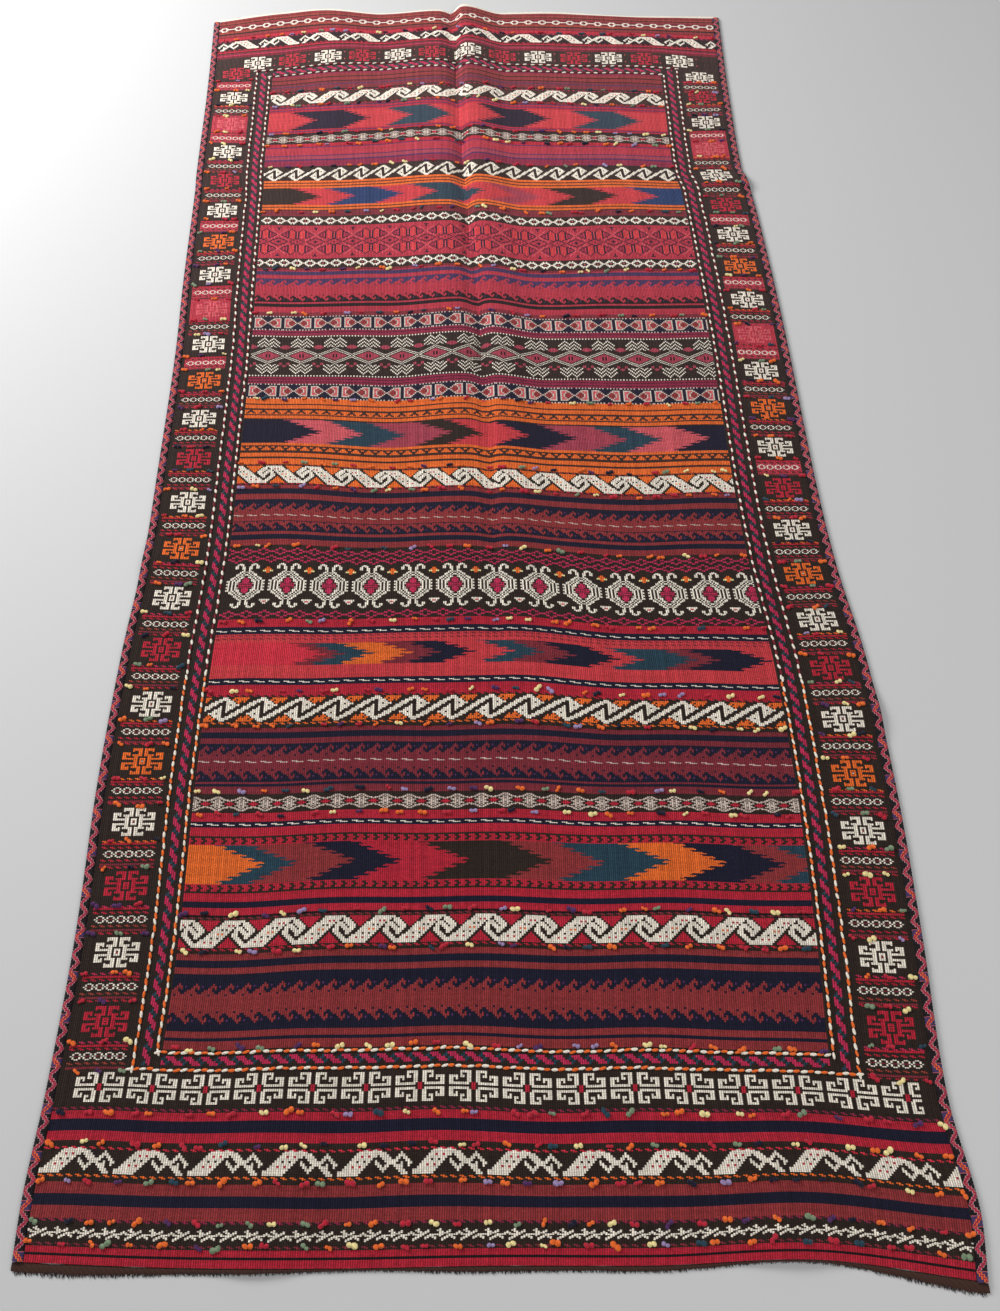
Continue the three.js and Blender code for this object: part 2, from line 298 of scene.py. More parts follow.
@dataclass(frozen=True)
class CountedRepeat:
    """Repeat that is worked out from distances instead of drawn.

    Args:
        columns: stitches of a repeat.
        wefts: wefts of a repeat.
        stitch: width of a stitch, in mm.
        weft: height of a weft, in mm.
    """

    columns: int
    wefts: int
    stitch: float = 3.04
    weft: float = 1.5

    def grid(self, middle: float) -> tuple[Whole, Whole, Numbers, Numbers]:
        """Where each stitch is.

        Args:
            middle: column that distances aside are taken from.

        Returns:
            Row, column, distance aside of the middle and height over the middle weft, the last two in mm.
        """
        row, column = np.meshgrid(np.arange(self.wefts), np.arange(self.columns), indexing="ij")
        aside = np.abs(column - middle) * self.stitch
        up = (row - (self.wefts - 1) / 2) * self.weft
        return row, column, aside, up


@dataclass(frozen=True)
class SerratedDiamond(CountedRepeat):
    """Repeat of the large diamonds, with a curl at each corner of both points. Distances are in mm.

    Args:
        flat: distance along within which the rings stay upright.
        slope: how much a ring narrows with each mm beyond that.
        outer: where the outer white ring starts and ends.
        thin: where the thin white ring starts and ends.
        core: where the inner white ring starts and ends.
        core_flat: distance along within which the inside stays upright.
        core_slope: how much the inside narrows beyond that.
        tooth: how far the serrated borders step in and out.
        slit: half the width of the slit at both points.
        slit_from: distance along at which the slit starts.
    """

    columns: int = 24
    wefts: int = 58
    flat: float = 8.5
    slope: float = 1.2
    outer: Span = (27.4, 33.6)
    thin: Span = (21.2, 24.4)
    core: Span = (14.0, 18.2)
    core_flat: float = 3.0
    core_slope: float = 0.75
    tooth: float = 1.8
    slit: float = 2.8
    slit_from: float = 30.0

    def letters(self) -> Letters:
        """Chart of one repeat, near row first.

        The distance of a stitch is its distance aside, plus the slope times what its distance along has over
        the flat stretch. Rings of that distance are white, ground, thin white, ground and white. The inside
        is a more pointed diamond, and the outermost and innermost borders step in and out every other pair
        of wefts.
        """
        row, _, aside, up = self.grid((self.columns - 1) / 2)
        far = np.abs(up)
        ring = aside + self.slope * np.maximum(far - self.flat, 0.0)
        inside = aside + self.core_slope * np.maximum(far - self.core_flat, 0.0)
        tooth = np.where(row // 2 % 2 == 0, self.tooth, 0.0)
        slit = (aside <= self.slit) & (far >= self.slit_from)
        white = (ring > self.outer[0]) & (ring <= self.outer[1] - tooth) & ~slit
        white |= (ring > self.thin[0]) & (ring <= self.thin[1])
        white |= (inside > self.core[0] + tooth) & (ring <= self.core[1])
        white |= self.curls(aside, up)
        petals = (aside + np.abs(far - 9.0) < 7.2) & (aside < 6.0)
        petals |= (far < 3.8) & (aside < 12.5) & (row % 3 != 0)
        chart = np.full(row.shape, ".")
        chart[petals] = "R"
        chart[white] = "W"
        return chart

    @staticmethod
    def curls(aside: Numbers, up: Numbers) -> NDArray[np.bool_]:
        """Heads at the far end and feet at the near end: a neck beside the middle, and an arc turned out.

        Args:
            aside: distance of each stitch from the middle, in mm.
            up: height of each stitch over the middle, in mm.

        Returns:
            Whether each stitch is white.
        """
        far = np.abs(up)
        neck = (far >= 31.0) & (far < 38.0) & (aside > 2.8) & (aside < 8.0)
        round_off = np.hypot((aside - 13.0) * 0.9, far - 37.2)
        arc = (round_off > 2.8) & (round_off < 6.4) & (far > 37.2)
        beak = (up > 32.5) & (up < 38.0) & (aside > 15.5) & (aside < 21.0)
        foot = (up < -34.8) & (up > -38.0) & (aside > 15.5) & (aside < 21.0)
        return neck | arc | beak | foot


@dataclass(frozen=True)
class EyeDiamond(CountedRepeat):
    """Repeat of the eye band: a long diamond between nested zigzags. Distances are in mm.

    Args:
        heart: half height of the diamond.
        outlines: half heights of the two thin lines round it.
        line: half the height of such a line.
        peaks: distance along of each zigzag's peaks.
        peak_at: stitches from the middle to a peak.
        zigzag_end: distance aside at which the zigzags are cut off.
        zigzag_foot: distance along below which no zigzag is drawn.
    """

    columns: int = 22
    wefts: int = 66
    heart: float = 12.0
    outlines: Span = (15.4, 20.6)
    line: float = 0.85
    peaks: tuple[float, ...] = (46.5, 37.5, 28.5)
    peak_at: int = 3
    zigzag_end: float = 22.5
    zigzag_foot: float = 23.0

    def letters(self) -> Letters:
        """Chart of one repeat, near row first.

        The distance of a stitch is its distance along plus half its distance aside: the diamond and its
        outlines are rings of it. A zigzag is two wefts high and falls by two wefts for each stitch away from
        its peak. Ovals lie beyond the diamonds' far side, between two repeats, and small dots beyond their
        near side.
        """
        row, column, aside, up = self.grid(self.columns / 2)
        between = self.columns / 2 * self.stitch - aside
        far = np.abs(up)
        ring = far + aside / 2
        white = np.any([np.abs(ring - outline) < self.line for outline in self.outlines], axis=0)
        zigzag = far + 2 * self.weft * np.abs(aside / self.stitch - self.peak_at)
        for peak in self.peaks:
            near_line = np.abs(zigzag - peak) < self.weft
            white |= near_line & (aside < self.zigzag_end) & (far > self.zigzag_foot)
        rose = (ring < self.heart) | ((up > 0) & (np.hypot(between / 9.5, (far - 23.0) / 5.5) < 1))
        for dot_between, dot_far in ((0.0, 27.0), (7.5, 21.0)):
            dot = np.hypot((between - dot_between) / 3.4, (far - dot_far) / 3.4) < 1
            rose |= (up < 0) & dot
        chart = np.full(row.shape, ".")
        chart[rose] = "P"
        chart[(aside < 7.0) & (far < 5.0) & (column % 2 == 0)] = "k"
        chart[white] = "W"
        return chart


LARGE_DIAMOND = SerratedDiamond()
EYE = EyeDiamond()
Repeat = Motif | SerratedDiamond | EyeDiamond

# Yarns that the letters of a chart stand for, where a band's own key doesn't say otherwise
PLAIN_KEY = {
    "W": Yarn.IVORY, "C": Yarn.RED, "R": Yarn.RED, "r": Yarn.RED, "O": Yarn.ORANGE, "o": Yarn.ORANGE,
    "d": Yarn.BROWN, "P": Yarn.SALMON, "p": Yarn.SALMON, "c": Yarn.BRIGHT_CORAL, "n": Yarn.NAVY,
    "N": Yarn.NAVY, "u": Yarn.PURPLE, "M": Yarn.BRICK, "m": Yarn.MAGENTA, "k": Yarn.BLACK, "K": Yarn.BROWN,
    "t": Yarn.TEAL,
}


def smooth(share: Numbers) -> Numbers:
    """Smoothstep: three times the square less twice the cube, between 0 and 1."""
    t = np.clip(share, 0.0, 1.0)
    return t * t * (3.0 - 2.0 * t)


def curve_value(places: Numbers, values: Numbers, at: Numbers) -> Numbers:
    """Smooth curve through a table's rows, as a cubic Hermite.

    The slope at a row is the slope between its neighbours, and one-sided at the ends. Between two rows the
    value is the straight line plus t times (1 - t) times the bend that meets both slopes.

    Args:
        places: where the rows are, rising.
        values: value at each row.
        at: where the curve is wanted.

    Returns:
        The value at each place wanted.
    """
    last = len(places) - 1
    before = np.maximum(np.arange(last + 1) - 1, 0)
    after = np.minimum(np.arange(last + 1) + 1, last)
    slopes = (values[after] - values[before]) / (places[after] - places[before])
    at = np.clip(at, places[0], places[-1])
    upper = np.clip(np.searchsorted(places, at), 1, last)
    lower = upper - 1
    step = places[upper] - places[lower]
    rise = values[upper] - values[lower]
    t = (at - places[lower]) / step
    bend = (1 - t) * slopes[lower] - t * slopes[upper] + (2 * t - 1) * rise / step
    return values[lower] + t * rise + t * (1 - t) * step * bend


@dataclass(frozen=True)
class Lie:
    """How the cloth lies on the floor, in mm.

    Args:
        length: woven length between the cut ends.
        selvedge: width of each side edge.
        thickness: thickness of the plain weave.
        crest_growth: how high the crests stand, as a multiple of the crease's table.
        crest_offsets: distance of the left and right crests from the crease's valley.
        crest_feet: where the left and right crests have come down to the floor.
        pucker: height of the small unevenness of the upper face.
        stray: how far the wefts stray from their even lie.
        calm: distance from a cut end over which they come to lie even.
    """

    length: float = WOVEN_LENGTH
    selvedge: float = 15.0
    thickness: float = 3.0
    crest_growth: float = 1.5
    crest_offsets: Span = (34.0, 28.0)
    crest_feet: Span = (190.0, 125.0)
    pucker: float = 0.35
    stray: float = 1.5
    calm: float = 140.0

    def edges(self, along: Numbers) -> tuple[Numbers, Numbers]:
        """x of the left and right outer edges at each woven distance."""
        left = curve_value(SIDE_EDGES[:, 0], SIDE_EDGES[:, 1], along)
        right = curve_value(SIDE_EDGES[:, 0], SIDE_EDGES[:, 2], along)
        return left, right

    def weft_y(self, share: Numbers, along: Numbers) -> Numbers:
        """y of the weft lines, by the same smooth curve along the warp and then across the width.

        Args:
            share: share of the whole width, from the left edge.
            along: woven distance from the near end.

        Returns:
            y at each place.
        """
        places = WEFT_LINES[:, 0]
        stations = np.stack([curve_value(places, line, along) for line in WEFT_LINES[:, 1:].T])
        last = len(stations) - 1
        run = np.clip(share, 0.0, 1.0) * last
        upper = np.clip(np.ceil(run).astype(int), 1, last)
        t = run - (upper - 1)

        def station(index: Whole) -> Numbers:
            """y at a station, which is held inside the list."""
            return np.take_along_axis(stations, np.clip(index, 0, last)[None], axis=0)[0]

        def slope(index: Whole) -> Numbers:
            """Slope between a station's neighbours, for one step."""
            steps = np.clip(index + 1, 0, last) - np.clip(index - 1, 0, last)
            return (station(index + 1) - station(index - 1)) / steps

        rise = station(upper) - station(upper - 1)
        bend = (1 - t) * slope(upper - 1) - t * slope(upper) + (2 * t - 1) * rise
        return station(upper - 1) + t * rise + t * (1 - t) * bend

    def crease_height(self, x: Numbers, along: Numbers) -> Numbers:
        """Height of the lengthwise crease.

        It rises from its sharp valley to a crest by a quarter sine, and falls to the floor by a smoothstep.

        Args:
            x: place to the right.
            along: woven distance from the near end.

        Returns:
            Height at each place.
        """
        offset = x - curve_value(CREASE[:, 0], CREASE[:, 1], along)
        distance = np.abs(offset)
        height = np.zeros_like(distance)
        for side, mask in enumerate((offset < 0, offset >= 0)):
            listed = curve_value(CREASE[:, 0], CREASE[:, 2 + side], along)
            crest = self.crest_growth * np.maximum(listed, 0.0)
            near, foot = self.crest_offsets[side], self.crest_feet[side]
            rising = np.sin(math.pi / 2 * np.clip(distance / near, 0.0, 1.0))
            shape = np.where(distance < near, rising, smooth((foot - distance) / (foot - near)))
            height = np.where(mask, crest * shape, height)
        return np.where(along < CREASE[0, 0], 0.0, height)

    def lift(self, x: Numbers, y: Numbers, along: Numbers) -> Numbers:
        """Height of the underside off the floor: the highest of the crease and of the swells.

        A swell is its height times a smoothstep that falls along its line and one that falls to both sides.

        Args:
            x: place to the right.
            y: place along the cloth on the floor.
            along: woven distance from the near end.

        Returns:
            Height at each place.
        """
        height = self.crease_height(x, along)
        for start_x, start_y, end_x, end_y, reach, top in SWELLS:
            line = np.array([end_x - start_x, end_y - start_y], float)
            length = float(np.hypot(*line))
            line /= length
            run = ((x - start_x) * line[0] + (y - start_y) * line[1]) / length
            aside = np.abs((x - start_x) * line[1] - (y - start_y) * line[0])
            height = np.maximum(height, top * smooth(1 - run) * smooth(1 - aside / reach))
        return height

    def points(self, across: Numbers, along: Numbers, up: Numbers | float = 0.0) -> Numbers:
        """Points of the cloth, in metres.

        Args:
            across: distance from the left outer edge, on the cloth's mean width.
            along: woven distance from the near end.
            up: height over the underside.

        Returns:
            Array of points, with x, y and z last.
        """
        left, right = self.edges(along)
        share = (across - WHOLE[0]) / (WHOLE[1] - WHOLE[0])
        x = left + self.selvedge + (right - left - 2 * self.selvedge) * share
        y = self.weft_y((x - left) / (right - left), along)
        z = self.lift(x, y, along) + up
        y = y + self.wander(across, along)
        return np.stack([x, y, z], axis=-1) * METRES

    def wander(self, across: Numbers, along: Numbers) -> Numbers:
        """How far a weft strays along the warp: three slow sine waves, fading out towards the cut ends."""
        calm = smooth(along / self.calm) * smooth((self.length - along) / self.calm)
        waves = (np.sin(across / 71 + along / 260) + 0.8 * np.sin(across / 39 - along / 190 + 1.0)
                 + 0.6 * np.sin(across / 143 + along / 97))
        return self.stray * calm * waves


# Stitches by which the pairs of wefts of a flame's front stand forward, in turn
FLAME_TEETH = (3, -1)


@dataclass
class WeaveChart:
    """Stitches of the whole woven face, near weft first, each holding a yarn's number.

    Args:
        columns: stitches across, between the selvedges.
        rows: wefts along.
    """

    columns: int = 392
    rows: int = 1768
    cells: Whole = field(init=False)
    brocaded: Numbers = field(init=False)

    def __post_init__(self) -> None:
        """Starts from a plain brown ground."""
        self.cells = np.full((self.rows, self.columns), Yarn.BROWN.number)
        self.brocaded = np.zeros((self.rows, self.columns))

    @property
    def row_height(self) -> float:
        """Distance between wefts, in mm."""
        return WOVEN_LENGTH / self.rows

    def row(self, along: float) -> int:
        """Row that begins at a woven distance."""
        return int(np.clip(round(along / self.row_height), 0, self.rows))

    def column(self, across: float) -> int:
        """Column that begins at a distance from the left outer edge."""
        share = (across - WHOLE[0]) / (WHOLE[1] - WHOLE[0])
        return int(np.clip(round(share * self.columns), 0, self.columns))

    def part(self, high: float, low: float, span: Span) -> tuple[slice, slice]:
        """Rows and columns of a stretch between two woven distances and across a span."""
        return slice(self.row(low), self.row(high)), slice(self.column(span[0]), self.column(span[1]))

    def fill(self, high: float, low: float, yarn: Yarn, span: Span = FIELD) -> None:
        """Fills a stretch with one yarn."""
        self.cells[self.part(high, low, span)] = yarn.number

    def stripes(self, high: float, bands: list[tuple[float, Yarn]], span: Span = FIELD) -> None:
        """Weft stripes, one under the other from far to near.

        Args:
            high: woven distance of the first stripe's far edge.
            bands: height in mm and yarn of each stripe.
            span: where they run across.
        """
        for height, yarn in bands:
            self.fill(high, high - height, yarn, span)
            high -= height

    def brocade(self, high: float, low: float, span: Span = FIELD) -> None:
        """Marks a stretch as brocaded, which stands proud of the plain weave."""
        self.brocaded[self.part(high, low, span)] = 1.0

    def paint(self, block: Letters, row: int, column: int, key: dict[str, Yarn]) -> None:
        """Puts a block of letters into the chart, cut off at its borders.

        Args:
            block: letters, near row first.
            row: row of the block's near edge.
            column: column of its left edge.
            key: yarns that differ from the plain key.
        """
        first_row, first_column = max(row, 0), max(column, 0)
        block = block[first_row - row:, first_column - column:]
        block = block[:self.rows - first_row, :self.columns - first_column]
        height, width = block.shape
        target = self.cells[first_row:first_row + height, first_column:first_column + width]
        for letter in np.unique(block):
            if letter != ".":
                target[block == letter] = {**PLAIN_KEY, **key}[str(letter)].number

    def tile(self, motif: Repeat, low: float, key: dict[str, Yarn] | None = None,
             span: Span = FIELD, shift: int = 0) -> None:
        """Repeats a motif side by side across a span.

        Args:
            motif: the repeat.
            low: woven distance of its near edge.
            key: yarns that differ from the plain key.
            span: where it runs across.
            shift: stitches by which the first repeat is cut.
        """
        letters = motif.letters()
        left, right = self.column(span[0]), self.column(span[1])
        wanted = (np.arange(right - left) + shift) % letters.shape[1]
        self.paint(letters[:, wanted], self.row(low), left, key or {})

    def stamp(self, motif: Motif, across: float, along: float, key: dict[str, Yarn] | None = None) -> None:
        """Puts one motif with its middle at a place."""
        letters = motif.letters()
        row = self.row(along) - letters.shape[0] // 2
        column = self.column(across) - letters.shape[1] // 2
        self.paint(letters, row, column, key or {})

    def flames(self, high: float, low: float, tips: list[tuple[float, Yarn]], slant: float = 2.3) -> None:
        """Slit-woven flames that point to the right, each up to its tip.

        A flame's front falls back from its tip by half the slant for each weft off the band's middle, and
        pairs of wefts stand forward and back in turn as teeth.

        Args:
            high: woven distance of the far edge.
            low: woven distance of the near edge.
            tips: distance of each tip across and its yarn, from left to right. The last one's flame runs to
                the edge, so its distance isn't used.
            slant: stitches by which the front falls back in two wefts.
        """
        bottom, top = self.row(low), self.row(high)
        left, right = self.column(FIELD[0]), self.column(FIELD[1])
        rows = np.arange(top - bottom)
        off_middle = np.abs(rows - (len(rows) - 1) / 2)
        teeth = np.where(rows % 4 < 2, *FLAME_TEETH)
        recede = np.round(off_middle * slant / 2).astype(int) - teeth
        fronts = np.array([self.column(across) for across, _ in tips[:-1]])[None, :] - recede[:, None]
        flame = (np.arange(left, right)[None, None, :] >= fronts[:, :, None]).sum(axis=1)
        numbers = np.array([yarn.number for _, yarn in tips])
        self.cells[bottom:top, left:right] = numbers[flame]


class ClothPattern:
    """Draws the cloth's bands, borders and frame into a chart, and says where the raised yarns go."""

    def __init__(self, chart: WeaveChart) -> None:
        """Draws everything, from the far end to the near end.

        Args:
            chart: chart that is drawn into.
        """
        self.chart = chart
        self.tuft_rows: list[tuple[float, Span]] = []
        self.far_end()
        self.side_borders()
        self.first_field_bands()
        self.middle_field_bands()
        self.last_field_bands()
        self.near_end()
        self.inner_frame()

    def tufts(self, along: float, span: Span = FIELD) -> None:
        """Notes a row of wool tufts."""
        self.tuft_rows.append((along, span))

    def motif_band(self, high: float, low: float, ground: Yarn, motif: Repeat,
                   key: dict[str, Yarn] | None = None, span: Span = FIELD, shift: int = 0,
                   trim: tuple[Yarn, Yarn] | None = None) -> None:
        """Ground with a motif along its middle, marked as brocaded.

        Args:
            high: woven distance of the far edge.
            low: woven distance of the near edge.
            ground: yarn of the ground.
            motif: the repeat.
            key: yarns that differ from the plain key.
            span: where it runs across.
            shift: stitches by which the first repeat is cut.
            trim: yarns of the thin twined rows along its far and near borders.
        """
        self.chart.fill(high, low, ground, span)
        self.chart.brocade(high, low, span)
        spare = (high - low) - len(motif.letters()) * self.chart.row_height
        self.chart.tile(motif, low + spare / 2, key, span, shift)
        if trim:
            self.chart.tile(TWINED_ROW, high - 3.5, {"W": trim[0]}, span)
            self.chart.tile(TWINED_ROW, low + 0.5, {"W": trim[1]}, span)

    def hook_bands(self, high: float, heights: tuple[float, ...], middle: Yarn, line: bool,
                   darks: tuple[Yarn, Yarn] = (Yarn.NAVY, Yarn.NAVY)) -> None:
        """Weft stripes with a row of small hooks hanging down, a plain middle and a row standing up.

        Args:
            high: woven distance of the far edge.
            heights: heights of the nine bands, in mm: stripe, dark stripe, stripe, hooks, middle, hooks,
                stripe, dark stripe and stripe.
            middle: yarn of the middle and of the stripes.
            line: whether a thin white line of dashes runs along the middle.
            darks: dark yarns of the far half and of the near half.
        """
        first, dark, second, down, plain, up, third, dark_too, last = heights
        upper, lower = darks
        bands = [(first, middle), (dark, upper), (second, middle), (down, upper), (plain, middle),
                 (up, lower), (third, middle), (dark_too, lower), (last, middle)]
        self.chart.stripes(high, bands)
        key = {"M": middle, "N": upper, "k": upper, "u": Yarn.PURPLE}
        rows = len(HOOKS.letters()) * self.chart.row_height
        down_low = high - first - dark - second - down
        up_low = down_low - plain - up
        self.chart.tile(HOOKS, down_low - 1, key)
        self.chart.fill(down_low - plain + 1, up_low + rows, lower)
        key.update({"N": lower, "k": lower})
        self.chart.tile(HOOKS.upended(), up_low + up - rows, key, shift=3)
        if line:
            self.chart.tile(THIN_DASHES, down_low - plain / 2, {"W": Yarn.THIN_IVORY})

    def far_end(self) -> None:
        """Bands beyond the inner frame at the far end, over the whole width."""
        chart = self.chart
        brick, dark_red, black, red = Yarn.BRICK, Yarn.DARK_RED, Yarn.BLACK, Yarn.RED
        chart.stripes(2650, [(6, brick), (3, dark_red), (6, Yarn.RUST), (3, black), (8, brick)], WHOLE)
        self.motif_band(2624, 2608, dark_red, LINK_CHAIN, None, WHOLE)
        chart.stripes(2608, [(8, Yarn.RUST), (4, black), (8, brick), (3, dark_red), (12, red)], WHOLE)
        self.tufts(2576, WHOLE)
        self.motif_band(2573, 2535, black, SLANT_SCROLL.turned(), None, WHOLE, trim=(Yarn.MAGENTA, red))
        chart.stripes(2535, [(5, red), (3, black), (6, Yarn.MAROON), (3, Yarn.MAGENTA), (9, dark_red)],
                      WHOLE)
        chart.fill(2509, 2458, Yarn.BROWN, WHOLE)
        chart.brocade(2509, 2458, WHOLE)
        for place in range(13):
            white = place % 2 == 0
            key = {"C": red} if white else {"W": red, "C": Yarn.BRIGHT_RED}
            across = 112 + place * 83.5
            chart.stamp(GUL, across, 2484, key)
            for along in (2497, 2471):
                chart.stamp(DOTS, across + 42, along, {"W": Yarn.SALMON})

    def side_borders(self) -> None:
        """Column of framed figures down each side border, with small chains between them."""
        colours = (
            Yarn.RED, Yarn.IVORY, Yarn.BRIGHT_RED, Yarn.IVORY, Yarn.RED, Yarn.IVORY, Yarn.ORANGE,
            Yarn.IVORY, Yarn.BRIGHT_RED, Yarn.IVORY, Yarn.ORANGE, Yarn.IVORY, Yarn.RED, Yarn.IVORY,
            Yarn.ORANGE, Yarn.IVORY, Yarn.RED, Yarn.IVORY, Yarn.ORANGE, Yarn.IVORY, Yarn.RED, Yarn.IVORY,
            Yarn.RED,
        )
        last = 299.0
        for span, first in ((LEFT_BORDER, 2448.0), (RIGHT_BORDER, 2350.0)):
            self.chart.fill(FAR_SIDE[0], NEAR_SIDE[0], Yarn.BROWN, span)
            pitch = (first - last) / (len(colours) - 1)
            middle = (span[0] + span[1]) / 2
            for place, colour in enumerate(colours):
                along = first - pitch * place
                self.border_figure(middle, along, colour)
                patched = along > FADED_BEYOND and (place * 3 + int(span[0])) % 7 < 3
                self.border_chain(span, middle, along - pitch / 2, patched)
        self.border_figure(middle, 2425.0, Yarn.IVORY)
        self.border_chain(RIGHT_BORDER, middle, 2388.0, False)

    def border_figure(self, middle: float, along: float, colour: Yarn) -> None:
        """One figure of a side border, brocaded on the brown or on a dark red patch.

        Args:
            middle: distance of its centre across.
            along: woven distance of its centre.
            colour: yarn of the figure.
        """
        centres = {Yarn.IVORY: Yarn.RED, Yarn.ORANGE: Yarn.IVORY, Yarn.RED: Yarn.BRIGHT_RED,
                   Yarn.BRIGHT_RED: Yarn.SALMON}
        box = (middle - 42, middle + 42)
        if colour is Yarn.BRIGHT_RED:
            is_faded = along > FADED_BEYOND
            patch, wool = (Yarn.FADED_RED, Yarn.SALMON) if is_faded else (Yarn.DARK_RED, Yarn.RED)
            self.chart.fill(along + 30, along - 30, patch, box)
        else:
            wool = colour
        self.chart.brocade(along + 27, along - 27, box)
        self.chart.stamp(GUL, middle, along, {"W": wool, "C": centres[colour]})

    def border_chain(self, span: Span, middle: float, along: float, patched: bool) -> None:
        """Five small diamonds between two figures, between two thin twined rows.

        Args:
            span: the side border.
            middle: distance of the chain's centre across.
            along: woven distance of its centre.
            patched: whether it lies on a patch of red.
        """
        inner = (span[0] + 6, span[1] - 6)
        if patched:
            self.chart.fill(along + 15, along - 15, Yarn.FADED_RED, inner)
        upper, lower = (Yarn.ORANGE, Yarn.RED) if round(along) % 2 else (Yarn.MAGENTA, Yarn.RUST)
        for near, yarn in ((14, Yarn.RED), (-17, Yarn.MAROON)):
            self.chart.fill(along + near + 3, along + near, yarn, inner)
        for offset, yarn in ((18, upper), (9, Yarn.RED), (-11, lower), (-21, Yarn.RED)):
            self.chart.tile(TWINED_ROW, along + offset, {"W": Yarn.BROWN if patched else yarn}, inner)
        for place in range(-2, 3):
            self.chart.stamp(SMALL_DIAMOND, middle + 15.2 * place, along, {"P": Yarn.MAROON})
        self.tufts(along + 21, inner)
        self.tufts(along - 20, inner)

    def first_field_bands(self) -> None:
        """Field bands from the far end of the frame to the large coral lattice."""
        chart = self.chart
        plum, black, maroon, night_purple = Yarn.PLUM, Yarn.BLACK, Yarn.MAROON, Yarn.NIGHT_PURPLE
        brown, olive_brown, red, coral = Yarn.BROWN, Yarn.OLIVE_BROWN, Yarn.RED, Yarn.CORAL
        navy, teal, purple, orange = Yarn.NAVY, Yarn.TEAL, Yarn.PURPLE, Yarn.ORANGE
        chart.stripes(2427, [(6, plum), (9, Yarn.BRICK), (3, black), (12, Yarn.BRICK), (3, black),
                             (8, maroon), (3, night_purple), (15, maroon)])
        self.tufts(2366)
        self.motif_band(2363, 2313, brown, S_SCROLL, {"R": olive_brown}, trim=(Yarn.MAGENTA, red))
        self.tufts(2312)
        chart.stripes(2313, [(5, maroon), (3, night_purple), (5, red), (3, night_purple), (6, red)])
        chart.flames(2291, 2228, [(255, coral), (378, navy), (476, coral), (575, teal), (690, coral),
                                  (794, navy), (905, coral), (1004, teal), (1100, coral)], 1.8)
        chart.stripes(2228, [(5, red), (3, night_purple), (5, red), (5, black)])
        self.tufts(2212)
        self.motif_band(2210, 2178, brown, KNOTTED_STARS, {"W": Yarn.THIN_IVORY})
        chart.fill(2178, 2168, red)
        self.tufts(2173)
        chart.stripes(2168, [(4, purple), (25, Yarn.FADED_RED), (3, purple), (11, Yarn.ROSE_MAROON),
                             (4, purple), (20, plum)])
        self.tufts(2100)
        self.motif_band(2097, 2053, brown, SMALL_N_SCROLL)
        orange_lines = [(5, orange), (3, olive_brown), (6, orange), (3, olive_brown), (6, orange)]
        chart.stripes(2053, orange_lines)
        chart.flames(2030, 1975, [(275, brown), (350, coral), (455, Yarn.BLUE), (530, coral),
                                  (635, teal), (700, coral), (760, Yarn.ROSE_MAROON), (830, coral),
                                  (925, brown), (1010, coral), (1100, Yarn.BLUE)])
        chart.stripes(1975, [(5, orange), (3, olive_brown), (6, orange), (3, olive_brown)])
        chart.fill(1958, 1940, maroon)
        self.tufts(1952)
        self.motif_band(1940, 1910, brown, HEXAGON_CHAIN)
        key = {"n": navy, "u": plum, "c": coral}
        self.motif_band(1910, 1811, Yarn.FADED_RED, LATTICE, key)
        self.motif_band(1811, 1782, brown, HEXAGON_CHAIN, shift=4)

    def middle_field_bands(self) -> None:
        """Field bands from the striped group under the lattice to the band of bird diamonds."""
        chart = self.chart
        black, navy, plum, brown = Yarn.BLACK, Yarn.NAVY, Yarn.PLUM, Yarn.BROWN
        rose_maroon = Yarn.ROSE_MAROON
        chart.fill(1782, 1648, Yarn.MAROON)
        self.tufts(1779)
        self.hook_bands(1776, (3, 11, 10, 20, 25, 18, 8, 9, 14), Yarn.FADED_RED, False,
                        (Yarn.NIGHT_PURPLE, black))
        self.tufts(1654)
        for high, low in ((1648, 1609), (1466, 1428)):
            self.motif_band(high, low, navy, CROSSED_BOX, {"W": Yarn.THIN_IVORY})
        chart.stripes(1609, [(5, plum), (1.5, black), (6, plum), (2.5, Yarn.MAROON)])
        self.motif_band(1594, 1484, brown, EYE, {"P": rose_maroon})
        chart.tile(DOTS, 1590)
        chart.tile(DOTS, 1486)
        chart.stripes(1484, [(5, plum), (1.5, black), (6, plum), (1.5, black), (4, plum)])
        self.tufts(1426)
        self.orange_border(1427, False)
        flames = [(297, navy), (376, Yarn.SALMON), (457, Yarn.TEAL), (545, rose_maroon), (608, brown),
                  (693, Yarn.CORAL), (783, navy), (878, rose_maroon), (945, Yarn.TEAL),
                  (1032, Yarn.SALMON), (1100, navy)]
        chart.flames(1373, 1315, flames)
        self.orange_border(1315, True)
        self.motif_band(1264, 1216, brown, S_SCROLL.turned(), {"R": Yarn.ORANGE},
                        trim=(Yarn.RUST, Yarn.RED))
        self.tufts(1267)
        self.tufts(1213)
        self.hook_bands(1216, (8, 12, 12, 24, 24, 21, 6, 11, 12), Yarn.BRICK, True)
        self.tufts(1085)
        for high, low, shifts in ((1083, 1049, (0, 5)), (961, 941, (0,))):
            chart.fill(high, low, brown)
            chart.brocade(high, low)
            for place, shift in enumerate(shifts):
                chart.tile(SMALL_LATTICE, low + 2 + 15 * place, shift=shift)
        self.bird_band(1049, 961)

